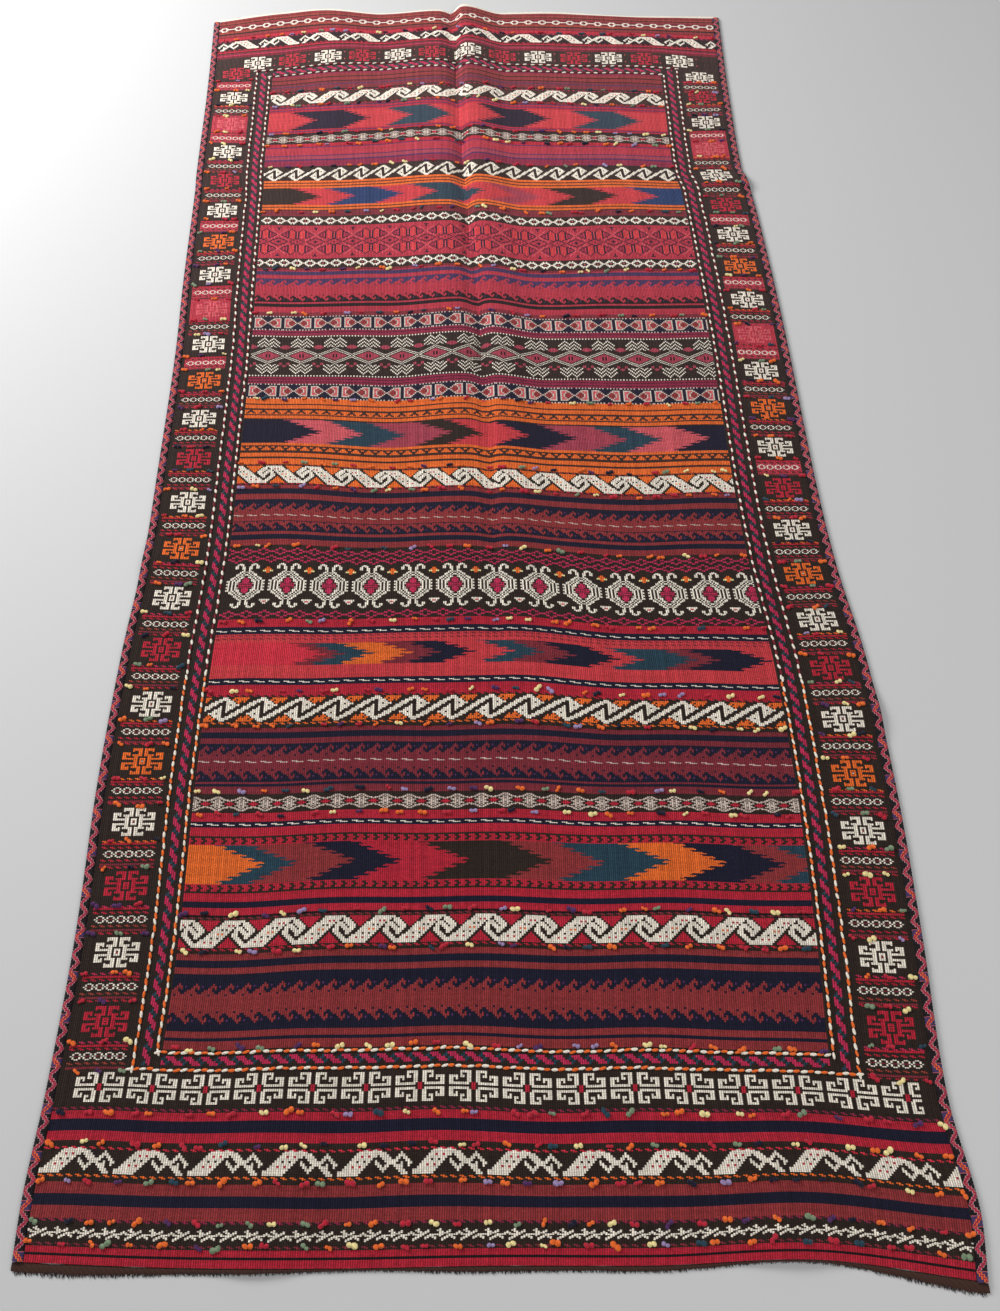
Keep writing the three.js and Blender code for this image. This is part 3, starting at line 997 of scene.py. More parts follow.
    def orange_border(self, high: float, mirrored: bool) -> None:
        """Orange stripes with dark lines and a small wave, beside a band of flames.

        Args:
            high: woven distance of the far edge.
            mirrored: whether the wave comes first.
        """
        orange, dark = Yarn.ORANGE, Yarn.OLIVE_BROWN
        bands = [(13, orange), (4, dark), (9, orange), (3, dark), (12, orange), (3, dark), (7, orange)]
        self.chart.stripes(high, bands[::-1] if mirrored else bands)
        wave = ORANGE_WAVE.upended() if mirrored else ORANGE_WAVE
        low = high - 22 if mirrored else high - 39
        self.chart.tile(wave, low, {"K": dark})

    def bird_band(self, high: float, low: float) -> None:
        """White serrated diamonds on brown, with blossoms and cups between them.

        Args:
            high: woven distance of the far edge.
            low: woven distance of the near edge.
        """
        self.motif_band(high, low, Yarn.BROWN, LARGE_DIAMOND, {"R": Yarn.MAGENTA})
        pitch = LARGE_DIAMOND.columns * (WHOLE[1] - WHOLE[0]) / self.chart.columns
        middle = (high + low) / 2
        for place in range(1, 13):
            across = FIELD[0] + pitch * place
            self.chart.stamp(BLOSSOM, across, middle + 31, {"P": Yarn.CREAM})
            self.chart.stamp(CUP, across, middle - 31)

    def last_field_bands(self) -> None:
        """Field bands from the red band of flames to the near side of the frame."""
        chart = self.chart
        red, navy, coral, maroon = Yarn.RED, Yarn.NAVY, Yarn.CORAL, Yarn.MAROON
        teal, orange, brown, brick = Yarn.TEAL, Yarn.ORANGE, Yarn.BROWN, Yarn.BRICK
        chart.fill(941, 926, red)
        self.tufts(937)
        chart.stripes(926, [(13, navy), (17, coral)])
        chart.tile(THIN_DASHES, 918)
        for along in (908, 902, 852, 846, 838):
            chart.tile(TWINED_ROW, along, {"W": maroon})
        chart.flames(896, 856, [(330, Yarn.BRIGHT_RED), (362, maroon), (410, teal), (472, orange),
                                (520, maroon), (577, navy), (640, coral), (690, teal), (740, maroon),
                                (812, navy), (850, coral), (937, teal), (975, maroon), (1060, navy),
                                (1100, coral)], 2.6)
        chart.stripes(856, [(24, coral), (12, navy), (18, red)])
        chart.tile(THIN_DASHES, 825)
        self.tufts(808)
        self.motif_band(802, 751, brown, N_SCROLL, trim=(red, orange))
        self.tufts(748)
        self.hook_bands(745, (8, 10, 9, 20, 22, 18, 6, 5, 4), maroon, True)
        self.tufts(639)
        chart.fill(643, 636, maroon)
        self.motif_band(636, 605, brown, KNOTTED_STARS, {"W": Yarn.THIN_IVORY})
        chart.stripes(605, [(13, red), (9, navy), (12, red)])
        self.tufts(603)
        chart.tile(THIN_DASHES, 586)
        for high, low, wave in ((571, 556, RED_WAVE), (497, 482, RED_WAVE.upended())):
            self.motif_band(high, low, red, wave)
        chart.flames(556, 497, [(260, orange), (310, teal), (395, brick), (465, navy), (565, red),
                                (690, brown), (765, brick), (862, teal), (945, orange), (1032, navy),
                                (1085, brick), (1100, teal)])
        chart.stripes(482, [(10, red), (9, navy), (10, red), (3, Yarn.BLACK)])
        self.motif_band(450, 401, brown, S_SCROLL, trim=(maroon, red))
        self.tufts(454)
        self.tufts(400)
        self.hook_bands(397, (9, 11, 9, 30, 22, 28, 9, 5, 11), brick, False)
        self.tufts(264)

    def near_end(self) -> None:
        """Bands in front of the inner frame at the near end, over the whole width."""
        chart = self.chart
        brown, red = Yarn.BROWN, Yarn.RED
        chart.fill(232, 186, brown, WHOLE)
        chart.brocade(232, 186, WHOLE)
        chart.tile(JOINED_GULS, 191, None, (35.0, 1185.0))
        chart.tile(TWINED_ROW, 181, {"W": Yarn.PLUM}, WHOLE)
        self.tufts(178, WHOLE)
        chart.stripes(180, [(10, red), (16, Yarn.NAVY), (12, red)], WHOLE)
        self.motif_band(142, 96, brown, SLANT_SCROLL, None, WHOLE)
        chart.tile(TWINED_ROW, 132, {"W": Yarn.BRIGHT_RED}, WHOLE)
        chart.tile(TWINED_ROW, 99, {"W": Yarn.ORANGE}, WHOLE)
        self.tufts(139, WHOLE)
        self.tufts(95, WHOLE)
        chart.stripes(93, [(14, Yarn.BRICK), (13, Yarn.NAVY), (15, Yarn.BRICK)], WHOLE)
        self.motif_band(51, 20, brown, VINE, None, WHOLE, trim=(Yarn.PLUM, Yarn.MAROON))
        self.tufts(48, WHOLE)
        self.tufts(23, WHOLE)
        chart.stripes(20, [(8, red), (3, Yarn.BLACK), (9, red)], WHOLE)

    def inner_frame(self) -> None:
        """Dark strip with slanting magenta strokes and teal between them that runs round the field."""
        chart = self.chart
        for high, low in (FAR_SIDE, NEAR_SIDE[::-1]):
            chart.fill(high, low, Yarn.BROWN, FRAME)
            chart.tile(BARRED_STRIP, (high + low) / 2 - 5.5, None, FRAME)
        for span in ((FRAME[0], FIELD[0]), (FIELD[1], FRAME[1])):
            chart.fill(FAR_SIDE[0], NEAR_SIDE[0], Yarn.BROWN, span)
        upright = BARRED_STRIP.upright()
        bottom, top = chart.row(240), chart.row(2450)
        strokes = upright[np.arange(top - bottom) % upright.shape[0]]
        for across in (125.0, 1083.5):
            chart.paint(strokes, bottom, chart.column(across), {})


# Faces that meet at a larger angle than this keep a sharp edge, in degrees
SHARP_ANGLE = 55.0


def mesh_piece(name: str, points: Numbers, faces: list[list[int]],
               smooth_shading: bool = True) -> bpy.types.Object:
    """Makes a mesh object at the origin, with its place in its mesh.

    Args:
        name: name of the piece.
        points: points in metres, one row each.
        faces: corner numbers of each face, anticlockwise from outside.
        smooth_shading: whether the faces are shaded smooth up to sharp edges.

    Returns:
        The object, linked to the scene.
    """
    mesh = bpy.data.meshes.new(name)
    mesh.from_pydata(points.reshape(-1, 3).tolist(), [], faces)
    mesh.update()
    if smooth_shading:
        mesh.shade_smooth()
        mesh.set_sharp_from_angle(angle=math.radians(SHARP_ANGLE))
    piece = bpy.data.objects.new(name, mesh)
    bpy.context.scene.collection.objects.link(piece)
    return piece


def add_uv(mesh: bpy.types.Mesh, name: str, corners: Numbers) -> None:
    """Adds a UV map from an array with one row for each face corner."""
    layer = mesh.uv_layers.new(name=name)
    layer.uv.foreach_set("vector", np.ascontiguousarray(corners, dtype=np.float32).ravel())


def add_values(mesh: bpy.types.Mesh, name: str, values: Numbers) -> None:
    """Adds a number to each point of a mesh."""
    layer = mesh.attributes.new(name, "FLOAT", "POINT")
    layer.data.foreach_set("value", np.ascontiguousarray(values, dtype=np.float32).ravel())


def grid_faces(rows: int, columns: int, first: int = 0, closed: bool = False) -> Whole:
    """Four-sided faces of a grid of points that is stored row by row.

    Args:
        rows: rows of points.
        columns: points in a row.
        first: number of the first point.
        closed: whether each row closes on itself.

    Returns:
        Array with four corners a face.
    """
    steps = columns if closed else columns - 1
    row, column = np.meshgrid(np.arange(rows - 1), np.arange(steps), indexing="ij")
    beside = (column + 1) % columns
    corners = [row * columns + column, row * columns + beside, (row + 1) * columns + beside,
               (row + 1) * columns + column]
    return first + np.stack(corners, axis=-1).reshape(-1, 4)


class NodeTree:
    """Short way to write a material's nodes."""

    def __init__(self, name: str) -> None:
        """Starts a material with only a Principled BSDF and its output.

        Args:
            name: name of the material.
        """
        self.material = bpy.data.materials.new(name)
        self.material.use_nodes = True
        self.tree = self.material.node_tree
        self.shader = self.tree.nodes["Principled BSDF"]

    def add(self, kind: str, inputs: dict | None = None, **settings: object) -> bpy.types.Node:
        """Adds a node, sets its properties, and sets or links its inputs.

        Args:
            kind: the node's type name without the ShaderNode in front.
            inputs: for each input's name or number, a value or the socket that feeds it.
            settings: properties of the node.

        Returns:
            The node.
        """
        node = self.tree.nodes.new("ShaderNode" + kind)
        for key, value in settings.items():
            setattr(node, key, value)
        for key, value in (inputs or {}).items():
            if isinstance(value, bpy.types.NodeSocket):
                self.tree.links.new(value, node.inputs[key])
            else:
                node.inputs[key].default_value = value
        return node

    def math(self, operation: str, first: object, second: object = 0.0,
             third: object = 0.0) -> bpy.types.NodeSocket:
        """Adds a Math node and returns its result."""
        return self.add("Math", {0: first, 1: second, 2: third}, operation=operation).outputs[0]

    def choose(self, share: object, first: object, second: object) -> bpy.types.NodeSocket:
        """Mixes two numbers by a share and returns the result."""
        return self.add("Mix", {0: share, 2: first, 3: second}).outputs[0]

    def shaded(self, light: object, share: object, change: float, base: float) -> bpy.types.NodeSocket:
        """Multiplies a lightness by the base plus the change times a share."""
        return self.math("MULTIPLY", light, self.math("MULTIPLY_ADD", share, change, base))

    def wave(self, place: object, half_turns: float) -> bpy.types.NodeSocket:
        """Size of the sine of a place, which makes the given number of half turns in each step of it."""
        return self.math("ABSOLUTE", self.math("SINE", self.math("MULTIPLY", place, math.pi * half_turns)))

    def fuzz(self, scale: float, detail: float) -> bpy.types.NodeSocket:
        """Adds a fine noise that stays with the piece."""
        position = self.add("TexCoord").outputs["Object"]
        return self.add("TexNoise", {"Vector": position, "Scale": scale, "Detail": detail}).outputs[0]

    def yarn_colour(self, mark: bpy.types.NodeSocket) -> bpy.types.NodeSocket:
        """Turns a yarn's mark into its colour, by a ramp with one constant step for each yarn."""
        ramp = self.add("ValToRGB", {0: mark})
        steps = ramp.color_ramp
        steps.interpolation = "CONSTANT"
        while len(steps.elements) < len(Yarn):
            steps.elements.new(1.0)
        for yarn, element in zip(Yarn, steps.elements):
            element.position = yarn.number / YARN_SLOTS
        for yarn, element in zip(Yarn, steps.elements):
            element.color = (*linear(yarn.value), 1.0)
        return ramp.outputs[0]

    def finish(self, colour: bpy.types.NodeSocket, height: bpy.types.NodeSocket, depth: float,
               wool: "WoolSurface") -> bpy.types.Material:
        """Joins colour and bump to the shader, with a wool surface.

        Args:
            colour: the colour.
            height: height from 0 to 1 for the bump.
            depth: depth of the bump, in metres.
            wool: roughness and sheen.

        Returns:
            The material.
        """
        bump = self.add("Bump", {"Height": height, "Distance": depth, "Strength": 1.0})
        self.tree.links.new(bump.outputs[0], self.shader.inputs["Normal"])
        self.tree.links.new(colour, self.shader.inputs["Base Color"])
        self.shader.inputs["Roughness"].default_value = wool.roughness
        self.shader.inputs["Specular IOR Level"].default_value = wool.specular
        self.shader.inputs["Sheen Weight"].default_value = wool.sheen
        self.shader.inputs["Sheen Roughness"].default_value = wool.sheen_roughness
        return self.material


def linear(colour: tuple[int, int, int]) -> tuple[float, ...]:
    """Linear light of an sRGB colour: each channel's 0.055 offset taken off, then the power 2.4."""
    shares = np.array(colour, float) / 255
    low = shares / 12.92
    high = ((shares + 0.055) / 1.055) ** 2.4
    return tuple(float(value) for value in np.where(shares <= 0.04045, low, high))


@dataclass(frozen=True)
class WoolSurface:
    """How wool takes light."""

    roughness: float = 0.92
    specular: float = 0.12
    sheen: float = 0.05
    sheen_roughness: float = 0.45


@dataclass(frozen=True)
class WovenFinish:
    """Finish of the woven sheet: stitches from its chart, warp ribs, uneven dye, fuzz and painted shade.

    Args:
        surface: roughness and sheen.
        stitch_change: how far stitches differ in lightness.
        rib_change: how far whole ribs differ in lightness.
        dye_change: how far the dye differs from weft to weft.
        fuzz_change: how far the fuzz changes the lightness.
        weft_change: painted shade: how much lighter the top of a weft is than the dip beside it.
        dip: lightness of that dip, as painted shade.
        groove: lightness of the grooves between the ribs, as painted shade.
        rib_power: power that flattens the ribs' tops.
        depth: depth of the ribs, in metres.
        faded: how far the far end has faded to a pale rose.
        rose: that rose, as linear light.
        fade_rows: rows of faces between which the wools fade.
        brighter: how much brighter the wools are at the far end.
    """

    surface: WoolSurface = WoolSurface()
    stitch_change: float = 0.3
    rib_change: float = 0.26
    dye_change: float = 0.28
    fuzz_change: float = 0.24
    weft_change: float = 0.14
    dip: float = 0.9
    groove: float = 0.36
    rib_power: float = 0.6
    depth: float = 0.0011
    faded: float = 0.04
    rose: tuple[float, float, float, float] = (0.62, 0.34, 0.36, 1.0)
    fade_rows: Span = (180.0, 420.0)
    brighter: float = 0.25

    def material(self) -> bpy.types.Material:
        """Builds the material. A face holds four stitches by four wefts, read from its four attributes."""
        nodes = NodeTree("woven_wool")
        uv = nodes.add("UVMap", uv_map="Weave").outputs[0]
        place = nodes.add("SeparateXYZ", {0: uv})
        across = nodes.math("MULTIPLY", place.outputs[0], 4.0)
        along = nodes.math("MULTIPLY", place.outputs[1], 4.0)
        column = nodes.math("MULTIPLY", nodes.math("FRACT", place.outputs[0]), 4.0)
        row = nodes.math("MULTIPLY", nodes.math("FRACT", place.outputs[1]), 4.0)
        mark = self.pick(nodes, WEFTS_OF_A_FACE[0], column)
        for limit, name in enumerate(WEFTS_OF_A_FACE[1:], start=1):
            above = nodes.math("GREATER_THAN", row, float(limit))
            mark = nodes.choose(above, mark, self.pick(nodes, name, column))
        colour = nodes.yarn_colour(mark)
        fade = nodes.add("MapRange", {"Value": place.outputs[1], "From Min": self.fade_rows[0],
                                      "From Max": self.fade_rows[1], "To Min": 0.0,
                                      "To Max": self.faded}).outputs[0]
        colour = nodes.add("Mix", {0: fade, 6: colour, 7: self.rose}, data_type="RGBA").outputs[2]

        warp_number = nodes.math("FLOOR", across)
        stitch = nodes.add("CombineXYZ", {0: warp_number, 1: nodes.math("FLOOR", along)}).outputs[0]
        chance = nodes.add("TexWhiteNoise", {0: stitch}, noise_dimensions="2D").outputs[0]
        warp = nodes.add("TexWhiteNoise", {"W": warp_number}, noise_dimensions="1D").outputs[0]
        weft = nodes.add("CombineXYZ", {0: nodes.math("MULTIPLY", across, 0.012),
                                        1: nodes.math("MULTIPLY", along, 0.3)}).outputs[0]
        dye = nodes.add("TexNoise", {"Vector": weft, "Scale": 1.0, "Detail": 4.0, "Roughness": 0.6})
        fuzz = nodes.fuzz(1500.0, 2.0)
        rib = nodes.math("POWER", nodes.wave(across, 1.0), self.rib_power)
        brocade = nodes.add("Attribute", attribute_name="Brocade").outputs["Fac"]
        cross = nodes.choose(brocade, nodes.wave(along, 1.0), nodes.wave(along, 0.5))

        # Painted shade: the rib and weft shares darken the grooves between ribs and the dips between wefts.
        light = nodes.math("MULTIPLY_ADD", chance, self.stitch_change, 1 - self.stitch_change / 2)
        for share, change, base in (
            (fade, self.brighter / self.faded, 1.0),
            (warp, self.rib_change, 1 - self.rib_change / 2),
            (dye.outputs[0], 2 * self.dye_change, 1 - self.dye_change),
            (fuzz, self.fuzz_change, 1 - self.fuzz_change / 2),
            (rib, 1 - self.groove, self.groove),
            (cross, self.weft_change, self.dip),
        ):
            light = nodes.shaded(light, share, change, base)
        colour = nodes.add("VectorMath", {0: colour, "Scale": light}, operation="SCALE").outputs[0]
        height = nodes.math("MULTIPLY_ADD", cross, 0.3, nodes.math("MULTIPLY_ADD", fuzz, 0.35, rib))
        return nodes.finish(colour, height, self.depth, self.surface)

    @staticmethod
    def pick(nodes: NodeTree, name: str, column: bpy.types.NodeSocket) -> bpy.types.NodeSocket:
        """Picks one of the four stitches that an attribute holds.

        Args:
            nodes: the material's nodes.
            name: the attribute.
            column: place inside the face, from 0 to 4.

        Returns:
            The mark of the stitch's yarn.
        """
        held = nodes.add("Attribute", attribute_name=name)
        parts = nodes.add("SeparateColor", {0: held.outputs["Color"]})
        mark = parts.outputs[0]
        for limit, part in enumerate((parts.outputs[1], parts.outputs[2], held.outputs["Alpha"]), start=1):
            mark = nodes.choose(nodes.math("GREATER_THAN", column, float(limit)), mark, part)
        return mark


# Blender's diagonal waves are 2 pi / 10 of a unit apart along an axis. Divided by this, a fineness of 1
# gives plies of 3.77 mm.
PLY_DIVISOR = 6.0


@dataclass(frozen=True)
class LooseYarnFinish:
    """Finish of spun yarn that lies on the cloth: one yarn for each point, plies and fuzz.

    Args:
        name: name of the material.
        surface: roughness and sheen.
        ply: fineness of the plies. Along an axis one takes 3.77 mm divided by it.
        depth: depth of the plies, in metres.
    """

    name: str
    surface: WoolSurface = WoolSurface(sheen=0.15)
    ply: float = 0.55
    depth: float = 0.0005

    def material(self) -> bpy.types.Material:
        """Builds the material: the yarn's colour, slanting plies with painted shade, and fine fuzz."""
        nodes = NodeTree(self.name)
        mark = nodes.add("Attribute", attribute_name="Yarn").outputs["Fac"]
        colour = nodes.yarn_colour(mark)
        fuzz = nodes.fuzz(1200.0, 3.0)
        position = nodes.add("TexCoord").outputs["Object"]
        scale = 1000 * self.ply / PLY_DIVISOR
        wave = nodes.add("TexWave", {"Vector": position, "Scale": scale, "Distortion": 2.0, "Detail": 1.0},
                         bands_direction="DIAGONAL")
        plies = wave.outputs["Fac"]
        # Painted shade: the colour is darker in the grooves between the plies.
        light = nodes.shaded(nodes.math("MULTIPLY_ADD", fuzz, 0.5, 0.72), plies, 0.22, 0.86)
        colour = nodes.add("VectorMath", {0: colour, "Scale": light}, operation="SCALE").outputs[0]
        height = nodes.math("ADD", plies, fuzz)
        return nodes.finish(colour, height, self.depth, self.surface)


# The bake map is 1 wide: how much of it the face of the sheet takes, where the underside starts, and the
# corners of the patch between them that all faces of the border share
SIDE_SHARE = 0.494
UNDERSIDE_START = 0.506
BORDER_PATCH = np.array([[0.496, 0.2], [0.504, 0.2], [0.504, 0.21], [0.496, 0.21]])


@dataclass
class WovenSheet:
    """The one-piece woven sheet: a closed shell whose faces carry four stitches by four wefts each.

    Args:
        lie: how the cloth lies.
        chart: its stitches.
        columns: faces across.
        rows: faces along.
        brocade_height: how far brocaded bands stand proud, in mm.
    """

    lie: Lie
    chart: WeaveChart
    columns: int = 98
    rows: int = 442
    brocade_height: float = 0.8

    def build(self) -> bpy.types.Object:
        """Builds the sheet.

        The underside is the lie itself. The upper face lies one thickness over it, with the brocaded bands
        proud by a blurred mask and a small pucker: the product of two slow sines.
        """
        across, along = np.meshgrid(np.linspace(*WHOLE, self.columns + 1),
                                    np.linspace(0, self.lie.length, self.rows + 1))
        under = self.lie.points(across, along)
        pucker = self.lie.pucker * np.sin(across / 23 + 2 * np.sin(along / 170)) * np.sin(along / 31)
        proud = self.brocade_height * self.blurred_brocade()
        over = self.lie.points(across, along, self.lie.thickness + proud + pucker)
        points = np.concatenate([over.reshape(-1, 3), under.reshape(-1, 3)])
        count = over.shape[0] * over.shape[1]
        top = grid_faces(self.rows + 1, self.columns + 1)
        bottom = grid_faces(self.rows + 1, self.columns + 1, count)[:, ::-1]
        walls = self.wall_faces(count)
        piece = mesh_piece("woven_sheet", points, [*top.tolist(), *bottom.tolist(), *walls.tolist()])
        self.dress(piece.data, top, bottom, len(walls))
        piece.data.materials.append(WovenFinish().material())
        return piece

    def blurred_brocade(self) -> Numbers:
        """Share of brocade at each point of the grid: the mean of the stitches around it."""
        whole = self.chart.brocaded.reshape(self.rows, 4, self.columns, 4).mean(axis=(1, 3))
        padded = np.pad(whole, 1, mode="edge")
        return (padded[1:, 1:] + padded[:-1, 1:] + padded[1:, :-1] + padded[:-1, :-1]) / 4

    def wall_faces(self, count: int) -> Whole:
        """Faces that close the shell all round, from the upper border to the lower one."""
        grid = np.arange(count).reshape(self.rows + 1, self.columns + 1)
        ring = np.concatenate([grid[0, :-1], grid[:-1, -1], grid[-1, :0:-1], grid[:0:-1, 0]])
        beside = np.roll(ring, -1)
        return np.stack([ring + count, beside + count, beside, ring], axis=-1)

    def dress(self, mesh: bpy.types.Mesh, top: Whole, bottom: Whole, walls: int) -> None:
        """Adds the UV maps and the attributes that hold the stitches.

        Args:
            mesh: the sheet's mesh.
            top: its upper faces.
            bottom: its lower faces.
            walls: how many faces close the border.
        """
        width = self.columns + 1
        place = np.concatenate([top, bottom - width * (self.rows + 1)])
        column, row = place % width, place // width
        weave = np.stack([column, row], axis=-1).astype(float)
        add_uv(mesh, "Weave", np.concatenate([weave, np.full((walls, 4, 2), 0.5)]))
        share = weave / (self.columns, self.rows) * (SIDE_SHARE, 1.0)
        share[len(top):, :, 0] += UNDERSIDE_START
        add_uv(mesh, "OFBake", np.concatenate([share, np.broadcast_to(BORDER_PATCH, (walls, 4, 2))]))
        marks = (self.chart.cells + 0.5) / YARN_SLOTS
        blocks = marks.reshape(self.rows, 4, self.columns, 4)
        for weft, name in enumerate(WEFTS_OF_A_FACE):
            each_face = blocks[:, weft].reshape(-1, 4)
            faces = np.concatenate([each_face, each_face, np.full((walls, 4), Yarn.BROWN.mark)])
            layer = mesh.attributes.new(name, "FLOAT_COLOR", "CORNER")
            layer.data.foreach_set("color", np.repeat(faces, 4, axis=0).astype(np.float32).ravel())
        soft = self.blurred_brocade().ravel()
        add_values(mesh, "Brocade", np.concatenate([soft, soft]))


@dataclass
class RaisedYarns:
    """Many small yarn shapes in one mesh, each a rounded pill laid on the cloth.

    Args:
        around: points in a ring of a pill.
        rings: rings between its two poles.
    """

    around: int = 8
    rings: int = 3

    def template(self) -> tuple[Numbers, Whole, Whole]:
        """Unit pill: a sphere whose rings lie at even angles between its poles, which point along it.

        Returns:
            Its points, its four-sided faces and its three-sided faces at the poles.
        """
        polar = np.linspace(0, math.pi, self.rings + 2)[1:-1][:, None]
        turn = np.linspace(0, 2 * math.pi, self.around, endpoint=False)[None, :]
        ring = np.stack([-np.cos(polar) * np.ones_like(turn), np.sin(polar) * np.cos(turn),
                         np.sin(polar) * np.sin(turn)], axis=-1).reshape(-1, 3)
        points = np.concatenate([ring, [[-1.0, 0.0, 0.0], [1.0, 0.0, 0.0]]])
        quads = grid_faces(self.rings, self.around, closed=True)[:, ::-1]
        step = np.arange(self.around)
        beside = (step + 1) % self.around
        start, end = len(ring), len(ring) + 1
        last = (self.rings - 1) * self.around
        first_fan = np.stack([np.full_like(step, start), step, beside], axis=-1)
        last_fan = np.stack([np.full_like(step, end), last + beside, last + step], axis=-1)
        return points, quads, np.concatenate([first_fan, last_fan])[:, ::-1]

    def build(self, name: str, centres: Numbers, forwards: Numbers, sizes: Numbers, marks: Numbers,
              finish: LooseYarnFinish) -> bpy.types.Object:
        """Lays one pill at each centre.

        A pill's point is the centre plus its unit point times the half sizes, along the forward direction,
        the level direction beside it and straight up.

        Args:
            name: name of the piece.
            centres: centre of each pill, in metres.
            forwards: direction of each pill.
            sizes: half length, half width and half height of each, in mm.
            marks: the yarn's mark of each.
            finish: its material.

        Returns:
            The piece.
        """
        points, quads, fans = self.template()
        forward = forwards / np.linalg.norm(forwards, axis=1, keepdims=True)
        beside = np.cross([0.0, 0.0, 1.0], forward)
        beside /= np.linalg.norm(beside, axis=1, keepdims=True)
        up = np.cross(forward, beside)
        axes = np.stack([forward, beside, up], axis=1) * (sizes * METRES)[:, :, None]
        placed = centres[:, None, :] + np.einsum("pk,nkx->npx", points, axes)
        placed[:, :, 2] = np.maximum(placed[:, :, 2], 0.0)
        starts = (np.arange(len(centres)) * len(points))[:, None, None]
        faces = [*(quads + starts).reshape(-1, 4).tolist(), *(fans + starts).reshape(-1, 3).tolist()]
        piece = mesh_piece(name, placed, faces)
        add_values(piece.data, "Yarn", np.repeat(marks, len(points)))
        piece.data.materials.append(finish.material())
        return piece


@dataclass
class TwinedLines:
    """Guide lines twined over the cloth from two yarns, whose turns show as ovals in turn.

    Args:
        lie: how the cloth lies.
        turn: length of one turn, in mm.
        half_sizes: half length, half width and half height of an oval, in mm.
        slant: how far an oval turns off its line, in radians.
        height: height of an oval's centre over the sheet, in mm.
        yarn_change: woven distance beyond which dark red goes with the ivory, and not orange.
        places: distances across and along of each line's ovals, and the yarn that goes with the ivory.
    """

    lie: Lie
    turn: float = 9.4
    half_sizes: tuple[float, float, float] = (5.4, 2.1, 1.5)
    slant: float = 0.14
    height: float = 0.9
    yarn_change: float = 845.0
    places: list[tuple[Numbers, Numbers, Yarn]] = field(default_factory=list)

    def upright(self, across: float, low: float, high: float, yarn: Yarn) -> None:
        """Adds a line that runs along the warp."""
        along = np.arange(low, high, self.turn)
        self.places.append((np.full_like(along, across), along, yarn))

    def level(self, along: float, span: Span, yarn: Yarn) -> None:
        """Adds a line that runs along the weft."""
        across = np.arange(span[0], span[1], self.turn)
        self.places.append((across, np.full_like(across, along), yarn))

    def lay(self) -> None:
        """Lays two lines along each side of the field and two along each of its ends."""
        outer, inner = (110.0, 1110.0), (145.0, 1075.0)
        uprights = ((114.0, 234.0, 2456.0), (145.0, 258.0, 2432.0), (1075.0, 258.0, 2432.0),
                    (1106.0, 234.0, 2456.0))
        for across, _, high in uprights:
            self.upright(across, self.yarn_change, high, Yarn.DARK_RED)
        for across, low, _ in uprights:
            self.upright(across, low, self.yarn_change, Yarn.ORANGE)
        for along, span, yarn in ((2455.0, outer, Yarn.DARK_RED), (2430.0, inner, Yarn.DARK_RED),
                                  (258.0, inner, Yarn.ORANGE), (235.0, outer, Yarn.ORANGE)):
            self.level(along, span, yarn)

    def build(self) -> bpy.types.Object:
        """Builds all lines as one piece, each oval turned a little off its line."""
        chance = np.random.default_rng(SEED)
        self.lay()
        centres, forwards, marks = [], [], []
        for across, along, yarn in self.places:
            wobble = chance.normal(0.0, 0.5, (2, len(across)))
            here = self.lie.points(across + wobble[0], along + wobble[1], self.lie.thickness + self.height)
            east, north, rise = np.gradient(here, axis=0).T
            turn = self.slant + chance.normal(0.0, 0.08, len(across))
            cos, sin = np.cos(turn), np.sin(turn)
            forwards.append(np.stack([cos * east - sin * north, sin * east + cos * north, rise], axis=-1))
            centres.append(here)
            marks.append(np.where(np.arange(len(across)) % 2 == 0, Yarn.IVORY.mark, yarn.mark))
        whole = np.concatenate(centres)
        sizes = np.array(self.half_sizes) * chance.uniform(0.9, 1.1, (len(whole), 3))
        return RaisedYarns().build("twined_lines", whole, np.concatenate(forwards), sizes,
                                   np.concatenate(marks), LooseYarnFinish("twined_wool"))


